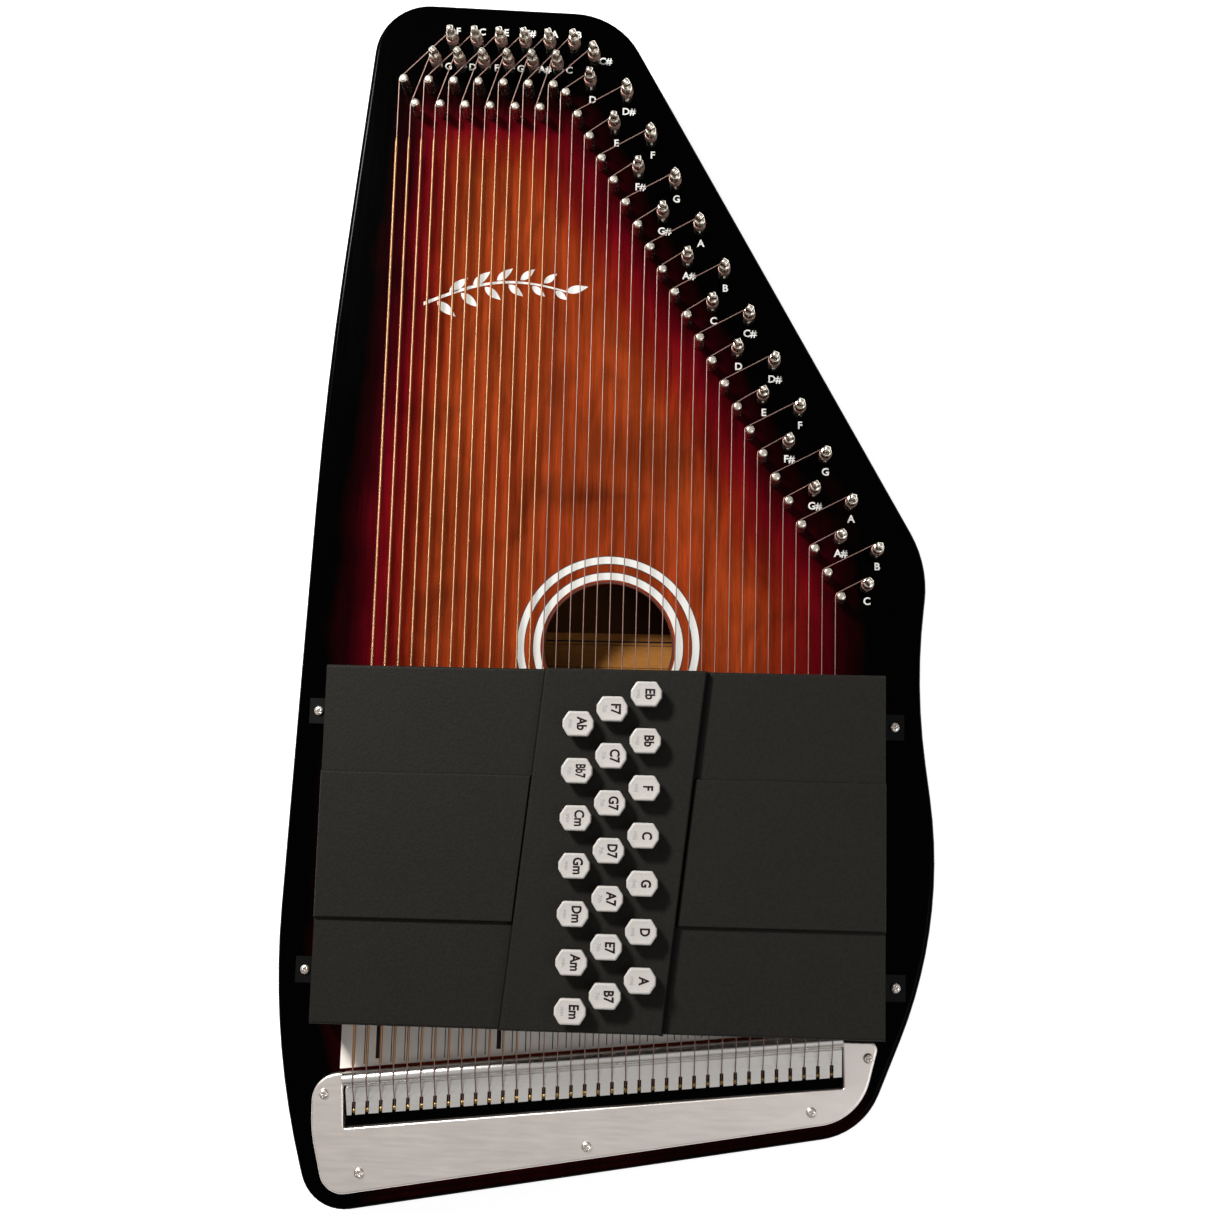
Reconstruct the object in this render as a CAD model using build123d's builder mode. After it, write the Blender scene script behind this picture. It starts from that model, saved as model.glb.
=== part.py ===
from build123d import *
import os
from math import asin, atan, atan2, cos, hypot, sin, tan

os.makedirs("parts", exist_ok=True)

# Chorded zither: a shallow glued wooden box carries thirty-six strings, and twenty-one
# sprung chord bars under a dark cover damp the strings that are not in their chord.
# Millimetres. X runs across the strings from bass to treble, Y along the strings
# towards the tuning pins, Z up. The origin is under the middle of the body, at the
# height of the surface that the feet stand on.

# ---------------------------------------------------------------- body
# Corners of the outline, clockwise from the bass end of the top edge, each with the
# radius that rounds it. The large radii are the bowed sides and the waist.
OUTLINE = [
    ((-125.1, 295.2), 27),
    ((-4.7, 288.5), 40),
    ((150.0, 9.5), 55),
    ((143.3, -48.1), 300),
    ((157.8, -157.6), 219),
    ((119.7, -252.3), 34),
    ((-130.9, -296.5), 20.5),
    ((-154.0, -218.0), 368),
    ((-143.8, 94.4), 2000),
]
FOOT_HEIGHT = 4.0
FOOT_RADIUS = 8.0
FOOT_CHAMFER = 1.0
FEET = [(-108, 266), (-18, 260), (100, -230), (-116, -264)]
BACK_THICKNESS = 3.0
FRAME_HEIGHT = 32.0
BOARD_THICKNESS = 3.0
BACK_TOP = FOOT_HEIGHT + BACK_THICKNESS
FRAME_TOP = BACK_TOP + FRAME_HEIGHT
BOARD_TOP = FRAME_TOP + BOARD_THICKNESS
EDGE_ROUND = 2.4
RAIL_WIDTH = 14.0
BEYOND = 200.0  # well outside the body, for cutting shapes

# The pin block lies inside the top edge and the long slope; these are its inner corners.
BLOCK_INNER = [(-BEYOND, 224), (-32, 224), (108.5, -29)]
# The tail block lies below this line.
TAIL_LINE = [(-BEYOND, -240.4), (BEYOND, -197.6)]

HOLE_CENTRE = (-1.7, -32.6)
HOLE_RADIUS = 30.4
BRACE_WIDTH = 9.0
TOP_BRACE_HEIGHT = 9.0
TOP_BRACE_LINES = [150, 30, -92]
BACK_BRACE_HEIGHT = 8.0
BACK_BRACE_LINES = [95, -130]

# ---------------------------------------------------------------- strings
STRING_COUNT = 36
WOUND_COUNT = 13
FIRST_STRING_X = -112.23
STRING_PITCH = 6.2
WOUND_RADII = (0.70, 0.45)  # first and last wound string
PLAIN_RADII = (0.28, 0.20)  # first and last plain string
CORE_RADIUS = 0.28  # the bare wire of a wound string, past the ends of its winding
WINDING_START = 5.0  # from the middle of the ridge
WINDING_END = 218.0
TOUCH_GAP = 0.06  # between a string and the metal that it presses on

# ---------------------------------------------------------------- anchor bar
# The comb line is the upper end of the slots that hold the string ends.
COMB_LEFT = (-115.8, -245.4)
COMB_SLOPE = 0.1071
BAR_RIGHT = 109.4
RIDGE_OFFSET = 10.6
RIDGE_RADIUS = 3.0
RIDGE_TOP = 52.2
GROOVE_WIDTH = 1.4
GROOVE_FLOOR = 44.0
COMB_TOP = 46.2
COMB_UNDERSIDE = 45.65
COMB_LENGTH = 5.7
COMB_ROOT = 2.4  # the solid part of the comb, behind the hollow that hides the ball ends
SLOT_WIDTH = 1.7
BALL_RADIUS = 1.5
BALL_OFFSET = -4.1
BALL_Z = 44.1

# ---------------------------------------------------------------- pins
GUIDE_RADIUS = 2.2
GUIDE_DEPTH = 12.0
GUIDE_TOP = 55.6
GUIDE_DOME = 1.3
PIN_RADIUS = 2.5
PIN_DEPTH = 24.0
PIN_SHAFT_TOP = 57.0
PIN_TOP = 62.5
PIN_FLAT = 3.5
PIN_CROWN = 0.7
PIN_CLEARANCE = 0.03
COIL_TURNS = 7

# ---------------------------------------------------------------- anchor cover plate
PLATE_OUTLINE = [
    ((-132.2, -232.4), 12.5),
    ((-117.8, -232.4), 0.6),
    ((-116.4, -256.6), 0.8),
    ((110.1, -231.9), 0.8),
    ((109.6, -211.2), 0.6),
    ((126.3, -211.2), 3.5),
    ((117.5, -245.7), 27),
    ((-124.2, -287.4), 11),
    ((-131.6, -258.0), 60),
]
PLATE_TOP = 46.4
PLATE_THICKNESS = 1.4
PLATE_ROUND = 1.0
PLATE_SCREWS = [
    (-126.2, -241.8), (-108.3, -276.1), (-5.2, -261.2), (95.8, -242.9), (121.3, -218.4),
]

# ---------------------------------------------------------------- chord bars
BAR_COUNT = 21
FIRST_BAR_Y = -59.3
CHORD_PITCH = 6.95
BAR_WIDTH = 4.8
BAR_BOTTOM = 63.0
BAR_HEIGHT = 9.0
BAR_ENDS = (-124.1, 121.2)
BAR_CHAMFER = 0.5
FELT_BOTTOM = 57.1
FELT_WIDTH = 4.4
FELT_BACKING = 1.4
FELT_ENDS = (-116.0, 109.0)
WINDOW_WIDTH = 5.2

# Names of the notes from the lowest string up, in semitones above C, and the chords
# from the far bar to the near one, as a root and the intervals over it.
NOTES = [5, 7, 0, 2, 4, 5, 6, 7, 9, 10, 11] + [n % 12 for n in range(25)]
MAJOR, MINOR, SEVENTH = (0, 4, 7), (0, 3, 7), (0, 4, 7, 10)
CHORDS = [
    (3, MAJOR), (5, SEVENTH), (8, MAJOR), (10, MAJOR), (0, SEVENTH), (10, SEVENTH), (5, MAJOR),
    (7, SEVENTH), (0, MINOR), (0, MAJOR), (2, SEVENTH), (7, MINOR), (7, MAJOR), (9, SEVENTH),
    (2, MINOR), (2, MAJOR), (4, SEVENTH), (9, MINOR), (9, MAJOR), (11, SEVENTH), (4, MINOR),
]

# ---------------------------------------------------------------- buttons
COLUMNS = [18.3, 3.2, -11.8]  # a bar's button stands in each column in turn
CAP_LENGTH = 13.9
CAP_WIDTH = 11.2
CAP_FLAT = 8.8
CAP_TIP = 3.2
CAP_CORNER = 1.3
CAP_EDGE = 0.9
CAP_BOTTOM = 84.3
CAP_TOP = 88.3
STEM_RADIUS = 2.2
STEM_CLEARANCE = 0.6

# ---------------------------------------------------------------- bar holders and springs
POST_LEFT = (-126.3, -118.5)
POST_RIGHT = (115.6, 123.4)
POST_TOP = 72.5
POST_WALL = 2.0
SLIDE_GAP = 0.2
HOLDER_BASE_TOP = 46.0
SPRING_FLOOR = 48.0
SPRING_RADIUS = 2.1
SPRING_WIRE = 0.6
SPRING_INSET = 0.5  # from the end of its bar
EAR_WIDTH = 12.0
EAR_REACH = 4.6
HOLDER_SCREWS = [(-137.5, -66.4), (-137.8, -186.4), (132.9, -68.4), (133.4, -187.0)]

# ---------------------------------------------------------------- covers
COVER_LEFT, COVER_RIGHT = -128.5, 125.6
COVER_FAR, COVER_NEAR = -47.5, -208.0
SHELL = 2.0
COVER_TOP = 75.5
SKIRT_BOTTOM = 57.0
BAND = (-96.0, -161.3)
BAND_TOP = 77.6
PANEL_TOP = 80.0
PANEL_FAR = (-27.8, 45.3)  # the button panel's left and right edge at its far end
PANEL_NEAR = (-43.4, 28.0)
PANEL_ROUND = 1.0
LEDGE = 4.0
FIT = 0.3
COVER_ROUND = 1.2
BAND_ROUND = 0.8

# ---------------------------------------------------------------- screws
SCREW_RADIUS = 1.4
SCREW_HEAD_RADIUS = 2.3
SCREW_HEAD_HEIGHT = 1.5
SCREW_HEAD_ROUND = 0.9
SCREW_LENGTH = 14.0


def finish_part(part, label):
    """Label one piece and write it as its own STEP file."""
    part.label = label
    export_step(part, f"parts/{label}.step")


def body_face(inset=0.0, mode=Mode.ADD):
    """The body's outline as a face in the current sketch, moved inwards by inset."""
    with BuildSketch(mode=Mode.PRIVATE) as outline:
        with BuildLine():
            FilletPolyline(*[p for p, r in OUTLINE], radius=[r for p, r in OUTLINE], close=True)
        make_face()
        if inset:
            offset(amount=-inset, kind=Kind.INTERSECTION, mode=Mode.REPLACE)
    add(outline.sketch, mode=mode)


def polygon(points, mode=Mode.ADD):
    """A straight-sided face in the current sketch."""
    with BuildLine() as edges:
        Polyline(*points, close=True)
    make_face(edges.edges(), mode=mode)


def block_region(mode):
    """The plan region of the pin block, past the body's edge on its outer side."""
    end_y = BLOCK_INNER[-1][1]
    outer = [(-BEYOND, 2 * BEYOND), (2 * BEYOND, 2 * BEYOND), (2 * BEYOND, end_y)]
    polygon(outer + BLOCK_INNER[::-1], mode)


def tail_region(mode):
    """The plan region of the tail block, past the body's edge on its outer side."""
    polygon(TAIL_LINE + [(BEYOND, -2 * BEYOND), (-BEYOND, -2 * BEYOND)], mode)


def holes(centres, radius, low, high):
    """Drill upright holes through the current part."""
    with BuildSketch(Plane.XY.offset(low)) as circles:
        with Locations(*centres):
            Circle(radius)
    extrude(circles.sketch, amount=high - low, mode=Mode.SUBTRACT)


def box(x, y, z, mode=Mode.ADD):
    """A box in the current part, from its low and high limits on each axis."""
    with Locations(((x[0] + x[1]) / 2, (y[0] + y[1]) / 2, (z[0] + z[1]) / 2)):
        Box(x[1] - x[0], y[1] - y[0], z[1] - z[0], mode=mode)


# ---------------------------------------------------------------- where the strings run
def between(first, last, step, steps):
    return first + (last - first) * step / (steps - 1)


def string_x(i):
    return FIRST_STRING_X + STRING_PITCH * i


def string_radius(i):
    if i < WOUND_COUNT:
        return between(*WOUND_RADII, i, WOUND_COUNT)
    return between(*PLAIN_RADII, i - WOUND_COUNT, STRING_COUNT - WOUND_COUNT)


def wire_radius(i):
    """Radius where the string bends round its pins."""
    return CORE_RADIUS if i < WOUND_COUNT else string_radius(i)


def string_z(i):
    return RIDGE_TOP + wire_radius(i) + TOUCH_GAP


def guide_pin(i):
    """Centre of a guide pin: two rows over the bass strings, then one long slope."""
    x = string_x(i) + GUIDE_RADIUS + wire_radius(i) + TOUCH_GAP
    if i >= WOUND_COUNT:
        return (x, 240.9 - 11.33 * (i - WOUND_COUNT))
    return (x, 247.8 - 0.24 * i) if i % 2 == 0 else (x, 235.2 - 0.2 * i)


def tuning_pin(i):
    """Centre of a tuning pin: two rows along the top edge, then two along the slope."""
    if i == WOUND_COUNT - 1:
        return (-15.8, 262.5)
    if i < WOUND_COUNT:
        x, y = (-86.8, 270.8) if i % 2 == 0 else (-101.0, 259.9)
        return (x + 6.1 * i, y - 0.2 * i)
    step = i - WOUND_COUNT
    if step % 2 == 0:
        return (-17.3 + 6.225 * step, 249.2 - 11.42 * step)
    return (-5.2 + 6.17 * step, 254.4 - 11.415 * step)


def comb_y(x):
    """Y of the comb line at a given X."""
    return COMB_LEFT[1] + COMB_SLOPE * (x - COMB_LEFT[0])


def ridge_y(x):
    """Y of the middle of the ridge at a given X."""
    return comb_y(x) + RIDGE_OFFSET / cos(atan(COMB_SLOPE))


def string_path(i):
    """Corner points of a string and the radius of its bend over the ridge and guide pin."""
    x, z, wire = string_x(i), string_z(i), wire_radius(i)
    ball = (comb_y(x) + BALL_OFFSET, BALL_Z)
    over_ridge = RIDGE_RADIUS + wire + TOUCH_GAP
    ridge = (ridge_y(x), RIDGE_TOP - RIDGE_RADIUS)
    span, rise = ridge[0] - ball[0], ridge[1] - ball[1]
    fall = atan2(rise, span) + asin(over_ridge / hypot(span, rise))
    ridge_corner = (x, ridge[0] - over_ridge * tan(fall / 2), z)
    (gx, gy), (tx, ty) = guide_pin(i), tuning_pin(i)
    round_guide = gx - x
    round_coil = PIN_RADIUS + PIN_CLEARANCE + wire
    bearing = atan2(ty - gy, tx - gx)
    heading = bearing - asin((round_guide - round_coil) / hypot(tx - gx, ty - gy))
    end = (tx - round_coil * sin(heading), ty + round_coil * cos(heading), z)
    corner_y = end[1] - (end[0] - x) * tan(heading)
    points = [(x, *ball), ridge_corner, (x, corner_y, z), end]
    return points, [over_ridge, round_guide]


# ---------------------------------------------------------------- box of the instrument
with BuildPart() as back_plate:
    with BuildSketch(Plane.XY.offset(FOOT_HEIGHT)):
        body_face()
    extrude(amount=BACK_THICKNESS)
    fillet(back_plate.faces().sort_by(Axis.Z)[0].edges(), EDGE_ROUND)
finish_part(back_plate.part, "back_plate")

GUIDES = [guide_pin(i) for i in range(STRING_COUNT)]
TUNERS = [tuning_pin(i) for i in range(STRING_COUNT)]
SCREWS = PLATE_SCREWS + HOLDER_SCREWS
HOLDER_SCREW_DEPTH = SCREW_LENGTH - (HOLDER_BASE_TOP - BOARD_TOP)

with BuildPart() as soundboard:
    with BuildSketch(Plane.XY.offset(FRAME_TOP)):
        body_face()
    extrude(amount=BOARD_THICKNESS)
    fillet(soundboard.faces().sort_by(Axis.Z)[-1].edges(), EDGE_ROUND)
    holes([HOLE_CENTRE], HOLE_RADIUS, FRAME_TOP, BOARD_TOP)
    holes(TUNERS, PIN_RADIUS + PIN_CLEARANCE, FRAME_TOP, BOARD_TOP)
    holes(GUIDES, GUIDE_RADIUS + PIN_CLEARANCE, FRAME_TOP, BOARD_TOP)
    holes(SCREWS, SCREW_RADIUS + PIN_CLEARANCE, FRAME_TOP, BOARD_TOP)
finish_part(soundboard.part, "soundboard")

with BuildPart() as pin_block:
    with BuildSketch(Plane.XY.offset(BACK_TOP)):
        body_face()
        block_region(Mode.INTERSECT)
    extrude(amount=FRAME_HEIGHT)
    holes(TUNERS, PIN_RADIUS + PIN_CLEARANCE, BOARD_TOP - PIN_DEPTH, FRAME_TOP)
    holes(GUIDES, GUIDE_RADIUS + PIN_CLEARANCE, BOARD_TOP - GUIDE_DEPTH, FRAME_TOP)
finish_part(pin_block.part, "pin_block")

with BuildPart() as tail_block:
    with BuildSketch(Plane.XY.offset(BACK_TOP)):
        body_face()
        tail_region(Mode.INTERSECT)
    extrude(amount=FRAME_HEIGHT)
    holes(PLATE_SCREWS, SCREW_RADIUS + PIN_CLEARANCE, PLATE_TOP - SCREW_LENGTH, FRAME_TOP)
finish_part(tail_block.part, "tail_block")

with BuildPart() as side_rails:
    with BuildSketch(Plane.XY.offset(BACK_TOP)):
        body_face()
        body_face(inset=RAIL_WIDTH, mode=Mode.SUBTRACT)
        block_region(Mode.SUBTRACT)
        tail_region(Mode.SUBTRACT)
    extrude(amount=FRAME_HEIGHT)
    holes(HOLDER_SCREWS, SCREW_RADIUS + PIN_CLEARANCE, BOARD_TOP - HOLDER_SCREW_DEPTH, FRAME_TOP)
finish_part(side_rails.part, "side_rails")


def brace_set(lines, low, height):
    """Cross braces that fill the width between the frame's inner faces."""
    with BuildSketch(Plane.XY.offset(low)) as plan:
        with Locations(*[(0, y) for y in lines]):
            Rectangle(2 * BEYOND, BRACE_WIDTH)
        body_face(inset=RAIL_WIDTH, mode=Mode.INTERSECT)
        block_region(Mode.SUBTRACT)
        tail_region(Mode.SUBTRACT)
    extrude(plan.sketch, amount=height)


with BuildPart() as braces:
    brace_set(TOP_BRACE_LINES, FRAME_TOP - TOP_BRACE_HEIGHT, TOP_BRACE_HEIGHT)
    brace_set(BACK_BRACE_LINES, BACK_TOP, BACK_BRACE_HEIGHT)
finish_part(braces.part, "braces")

with BuildPart() as feet:
    with BuildSketch():
        with Locations(*FEET):
            Circle(FOOT_RADIUS)
    extrude(amount=FOOT_HEIGHT)
    chamfer(feet.faces().group_by(Axis.Z)[0].edges(), FOOT_CHAMFER)
finish_part(feet.part, "feet")

# ---------------------------------------------------------------- pins
with BuildPart() as one_guide_pin:
    with BuildSketch(Plane.XY.offset(BOARD_TOP - GUIDE_DEPTH)):
        Circle(GUIDE_RADIUS)
    extrude(amount=GUIDE_TOP - BOARD_TOP + GUIDE_DEPTH)
    fillet(one_guide_pin.faces().sort_by(Axis.Z)[-1].edges(), GUIDE_DOME)

with BuildPart() as guide_pins:
    with Locations(*GUIDES):
        add(one_guide_pin.part)
finish_part(guide_pins.part, "guide_pins")

with BuildPart() as one_tuning_pin:
    with BuildSketch(Plane.XY.offset(BOARD_TOP - PIN_DEPTH)):
        Circle(PIN_RADIUS)
    extrude(amount=PIN_SHAFT_TOP - BOARD_TOP + PIN_DEPTH)
    with BuildSketch(Plane.XY.offset(PIN_SHAFT_TOP)):
        Rectangle(PIN_FLAT, PIN_FLAT)
    extrude(amount=PIN_TOP - PIN_SHAFT_TOP)
    chamfer(one_tuning_pin.faces().sort_by(Axis.Z)[-1].edges(), PIN_CROWN)

with BuildPart() as tuning_pins:
    with Locations(*TUNERS):
        add(one_tuning_pin.part)
finish_part(tuning_pins.part, "tuning_pins")


# ---------------------------------------------------------------- strings
def run(points, bends, radius):
    """Round wire along straight runs joined by bends."""
    start = Vector(*points[0])
    with BuildPart() as wire:
        with BuildLine():
            FilletPolyline(*points, radius=bends)
        with BuildSketch(Plane(origin=start, z_dir=Vector(*points[1]) - start)):
            Circle(radius)
        sweep()
    return wire.part


def string_solid(i):
    """One string: its ball end, its run over the ridge and round the guide pin, its coil."""
    points, bends = string_path(i)
    wire = wire_radius(i)
    with BuildPart() as one_string:
        add(run(points, bends, wire))
        if i < WOUND_COUNT:
            x, y, z = points[2]
            start = ridge_y(x) + WINDING_START
            with BuildSketch(Plane(origin=(x, start, z), x_dir=(1, 0, 0), z_dir=(0, 1, 0))):
                Circle(string_radius(i))
            extrude(amount=WINDING_END - start)
        with Locations(points[0]):
            Sphere(BALL_RADIUS)
        with BuildSketch(Plane.XY.offset(points[-1][2] + wire + TOUCH_GAP)):
            with Locations(tuning_pin(i)):
                Circle(PIN_RADIUS + PIN_CLEARANCE + 2 * wire)
                Circle(PIN_RADIUS + PIN_CLEARANCE, mode=Mode.SUBTRACT)
        extrude(amount=-2 * wire * COIL_TURNS)
    return one_string.part


def string_group(numbers, label):
    with BuildPart() as group:
        for i in numbers:
            add(string_solid(i))
    finish_part(group.part, label)


string_group(range(WOUND_COUNT), "wound_strings")
string_group(range(WOUND_COUNT, STRING_COUNT), "plain_strings")

# ---------------------------------------------------------------- anchor bar and its cover
BAR_DIRECTION = Vector(cos(atan(COMB_SLOPE)), sin(atan(COMB_SLOPE)), 0)
BAR_ACROSS = Vector(-BAR_DIRECTION.Y, BAR_DIRECTION.X, 0)

with BuildPart() as anchor_bar:
    with BuildSketch(Plane(origin=(*COMB_LEFT, 0), x_dir=BAR_ACROSS, z_dir=BAR_DIRECTION)):
        far = RIDGE_OFFSET + RIDGE_RADIUS
        near = RIDGE_OFFSET - RIDGE_RADIUS
        comb_far = near - GROOVE_WIDTH
        axis_z = RIDGE_TOP - RIDGE_RADIUS
        with BuildLine():
            ThreePointArc((far, axis_z), (RIDGE_OFFSET, RIDGE_TOP), (near, axis_z))
            Polyline(
                (near, axis_z), (near, GROOVE_FLOOR), (comb_far, GROOVE_FLOOR), (comb_far, COMB_TOP),
                (-COMB_LENGTH, COMB_TOP), (-COMB_LENGTH, COMB_UNDERSIDE),
                (-COMB_ROOT, COMB_UNDERSIDE), (-COMB_ROOT, BOARD_TOP), (far, BOARD_TOP), (far, axis_z),
            )
        make_face()
    extrude(amount=2 * BEYOND)
    box((BAR_RIGHT, 3 * BEYOND), (-3 * BEYOND, 3 * BEYOND), (0, RIDGE_TOP), Mode.SUBTRACT)
    for i in range(STRING_COUNT):
        x = string_x(i)
        box(
            (x - SLOT_WIDTH / 2, x + SLOT_WIDTH / 2),
            (comb_y(x) - 2 * COMB_LENGTH, comb_y(x)),
            (BOARD_TOP, RIDGE_TOP),
            Mode.SUBTRACT,
        )
finish_part(anchor_bar.part, "anchor_bar")

with BuildPart() as anchor_cover_plate:
    with BuildSketch(Plane.XY.offset(BOARD_TOP)) as plate_plan:
        with BuildLine():
            FilletPolyline(
                *[p for p, r in PLATE_OUTLINE], radius=[r for p, r in PLATE_OUTLINE], close=True
            )
        make_face()
    extrude(amount=PLATE_TOP - BOARD_TOP)
    fillet(anchor_cover_plate.faces().sort_by(Axis.Z)[-1].edges(), PLATE_ROUND)
    with BuildSketch(Plane.XY.offset(BOARD_TOP)):
        add(plate_plan.sketch)
        offset(amount=-PLATE_THICKNESS, kind=Kind.INTERSECTION, mode=Mode.REPLACE)
    extrude(amount=PLATE_TOP - PLATE_THICKNESS - BOARD_TOP, mode=Mode.SUBTRACT)
    holes(PLATE_SCREWS, SCREW_RADIUS + PIN_CLEARANCE, BOARD_TOP, PLATE_TOP)
finish_part(anchor_cover_plate.part, "anchor_cover_plate")


# ---------------------------------------------------------------- screws
def screw_at(centre, seat):
    """A pan-head screw whose head rests at the height of its seat."""
    with Locations((*centre, seat)):
        Cylinder(SCREW_RADIUS, SCREW_LENGTH, align=(Align.CENTER, Align.CENTER, Align.MAX))
        Cylinder(SCREW_HEAD_RADIUS, SCREW_HEAD_HEIGHT, align=(Align.CENTER, Align.CENTER, Align.MIN))


with BuildPart() as mounting_screws:
    for centre in PLATE_SCREWS:
        screw_at(centre, PLATE_TOP)
    for centre in HOLDER_SCREWS:
        screw_at(centre, HOLDER_BASE_TOP)
    rims = mounting_screws.edges().filter_by(GeomType.CIRCLE).group_by(SortBy.RADIUS)[-1]
    seats = (PLATE_TOP, HOLDER_BASE_TOP)
    tops = [e for e in rims if min(abs(e.center().Z - s - SCREW_HEAD_HEIGHT) for s in seats) < 0.01]
    fillet(tops, SCREW_HEAD_ROUND)
finish_part(mounting_screws.part, "mounting_screws")


# ---------------------------------------------------------------- chord bars and buttons
def bar_y(k):
    return FIRST_BAR_Y - CHORD_PITCH * k


def open_strings(k):
    """The strings that a chord lets ring."""
    root, intervals = CHORDS[k]
    sounding = {(root + step) % 12 for step in intervals}
    return [i for i in range(STRING_COUNT) if NOTES[i] in sounding]


for k in range(BAR_COUNT):
    y = bar_y(k)
    with BuildPart() as chord_bar:
        box(BAR_ENDS, (y - BAR_WIDTH / 2, y + BAR_WIDTH / 2), (BAR_BOTTOM, BAR_BOTTOM + BAR_HEIGHT))
        chamfer(chord_bar.faces().sort_by(Axis.Z)[-1].edges(), BAR_CHAMFER)
    with BuildPart() as felt:
        box(FELT_ENDS, (y - FELT_WIDTH / 2, y + FELT_WIDTH / 2), (FELT_BOTTOM, BAR_BOTTOM))
        with BuildSketch(Plane.XY.offset(FELT_BOTTOM)):
            with Locations(*[(string_x(i), y) for i in open_strings(k)]):
                Rectangle(WINDOW_WIDTH, 2 * FELT_WIDTH)
        extrude(amount=BAR_BOTTOM - FELT_BACKING - FELT_BOTTOM, mode=Mode.SUBTRACT)
    pair = Compound(children=[*chord_bar.part.solids(), *felt.part.solids()])
    finish_part(pair, f"chord_bar_{k + 1:02d}")

for k in range(BAR_COUNT):
    x, y = COLUMNS[k % 3], bar_y(k)
    with BuildPart() as chord_button:
        with BuildSketch(Plane.XY.offset(BAR_BOTTOM + BAR_HEIGHT)):
            with Locations((x, y)):
                Circle(STEM_RADIUS)
        extrude(amount=CAP_BOTTOM - BAR_BOTTOM - BAR_HEIGHT)
        with BuildSketch(Plane.XY.offset(CAP_BOTTOM)) as cap_plan:
            with Locations((x, y)):
                half, wide = CAP_LENGTH / 2, CAP_WIDTH / 2
                quarter = [(half, CAP_TIP / 2), (CAP_FLAT / 2, wide)]
                left = [(-a, b) for a, b in quarter[::-1]]
                ring = quarter + left + [(-a, -b) for a, b in quarter + left]
                Polygon(*ring, align=None)
            fillet(cap_plan.vertices(), CAP_CORNER)
        extrude(amount=CAP_TOP - CAP_BOTTOM)
        fillet(chord_button.faces().sort_by(Axis.Z)[-1].edges(), CAP_EDGE)
    finish_part(chord_button.part, f"chord_button_{k + 1:02d}")


# ---------------------------------------------------------------- bar holders and springs
def holder(post, ear_side, screws):
    """A slotted post on a foot, with an ear for each screw outside the cover."""
    slot_width = BAR_WIDTH / 2 + SLIDE_GAP
    near, far = COVER_NEAR + SHELL + FIT, COVER_FAR - SHELL - FIT
    box(post, (near, far), (BOARD_TOP, POST_TOP))
    reach = post[0] if ear_side < 0 else post[1]
    for x, y in screws:
        ear = sorted((reach, x + ear_side * EAR_REACH))
        box(ear, (y - EAR_WIDTH / 2, y + EAR_WIDTH / 2), (BOARD_TOP, HOLDER_BASE_TOP))
    slot = (post[0] + POST_WALL, post[1]) if ear_side < 0 else (post[0], post[1] - POST_WALL)
    for k in range(BAR_COUNT):
        y = bar_y(k)
        box(slot, (y - slot_width, y + slot_width), (SPRING_FLOOR, POST_TOP), Mode.SUBTRACT)


with BuildPart() as bar_holders:
    holder(POST_LEFT, -1, HOLDER_SCREWS[:2])
    holder(POST_RIGHT, 1, HOLDER_SCREWS[2:])
    holes(HOLDER_SCREWS, SCREW_RADIUS + PIN_CLEARANCE, BOARD_TOP, HOLDER_BASE_TOP)
finish_part(bar_holders.part, "bar_holders")

SPRING_REACH = SPRING_RADIUS + SPRING_INSET
SPRING_X = [BAR_ENDS[0] + SPRING_REACH, BAR_ENDS[1] - SPRING_REACH]
with BuildPart() as bar_springs:
    with BuildSketch(Plane.XY.offset(SPRING_FLOOR)):
        with Locations(*[(x, bar_y(k)) for x in SPRING_X for k in range(BAR_COUNT)]):
            Circle(SPRING_RADIUS)
            Circle(SPRING_RADIUS - SPRING_WIRE, mode=Mode.SUBTRACT)
    extrude(amount=BAR_BOTTOM - SPRING_FLOOR)
finish_part(bar_springs.part, "bar_springs")


# ---------------------------------------------------------------- covers
def panel_edge(side, y, move=0.0):
    """A point of the button panel's slanted edge, moved along X."""
    share = (y - COVER_FAR) / (COVER_NEAR - COVER_FAR)
    return (PANEL_FAR[side] + share * (PANEL_NEAR[side] - PANEL_FAR[side]) + move, y)


def side_cover(side):
    """A side of the cover: a thin top on skirts, with a raised band across its middle."""
    outer, turn = (COVER_LEFT, 1) if side == 0 else (COVER_RIGHT, -1)
    far = panel_edge(side, COVER_FAR, turn * LEDGE)
    near = panel_edge(side, COVER_NEAR, turn * LEDGE)
    with BuildSketch(Plane.XY.offset(SKIRT_BOTTOM)) as shell_plan:
        polygon([(outer, COVER_FAR), far, near, (outer, COVER_NEAR)])
    block = extrude(shell_plan.sketch, amount=COVER_TOP - SKIRT_BOTTOM)
    fillet(block.faces().sort_by(Axis.Z)[-1].edges().filter_by(Axis.X), COVER_ROUND)
    box(
        sorted((outer + turn * SHELL, outer + turn * BEYOND)),
        (COVER_NEAR + SHELL, COVER_FAR - SHELL),
        (SKIRT_BOTTOM, COVER_TOP - SHELL),
        Mode.SUBTRACT,
    )
    box(
        sorted((outer, outer + turn * SHELL)),
        (COVER_NEAR, COVER_FAR),
        (HOLDER_BASE_TOP, SKIRT_BOTTOM),
    )
    with BuildSketch(Plane.XY.offset(COVER_TOP)) as band_plan:
        inner = [panel_edge(side, y, -turn * FIT) for y in BAND]
        polygon([(outer, BAND[0]), *inner, (outer, BAND[1])])
    band = extrude(band_plan.sketch, amount=BAND_TOP - COVER_TOP)
    fillet(band.faces().sort_by(Axis.Z)[-1].edges(), BAND_ROUND)


with BuildPart() as left_cover:
    side_cover(0)
with BuildPart() as right_cover:
    side_cover(1)
covers = Compound(children=[*left_cover.part.solids(), *right_cover.part.solids()])
finish_part(covers, "side_covers")

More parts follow.
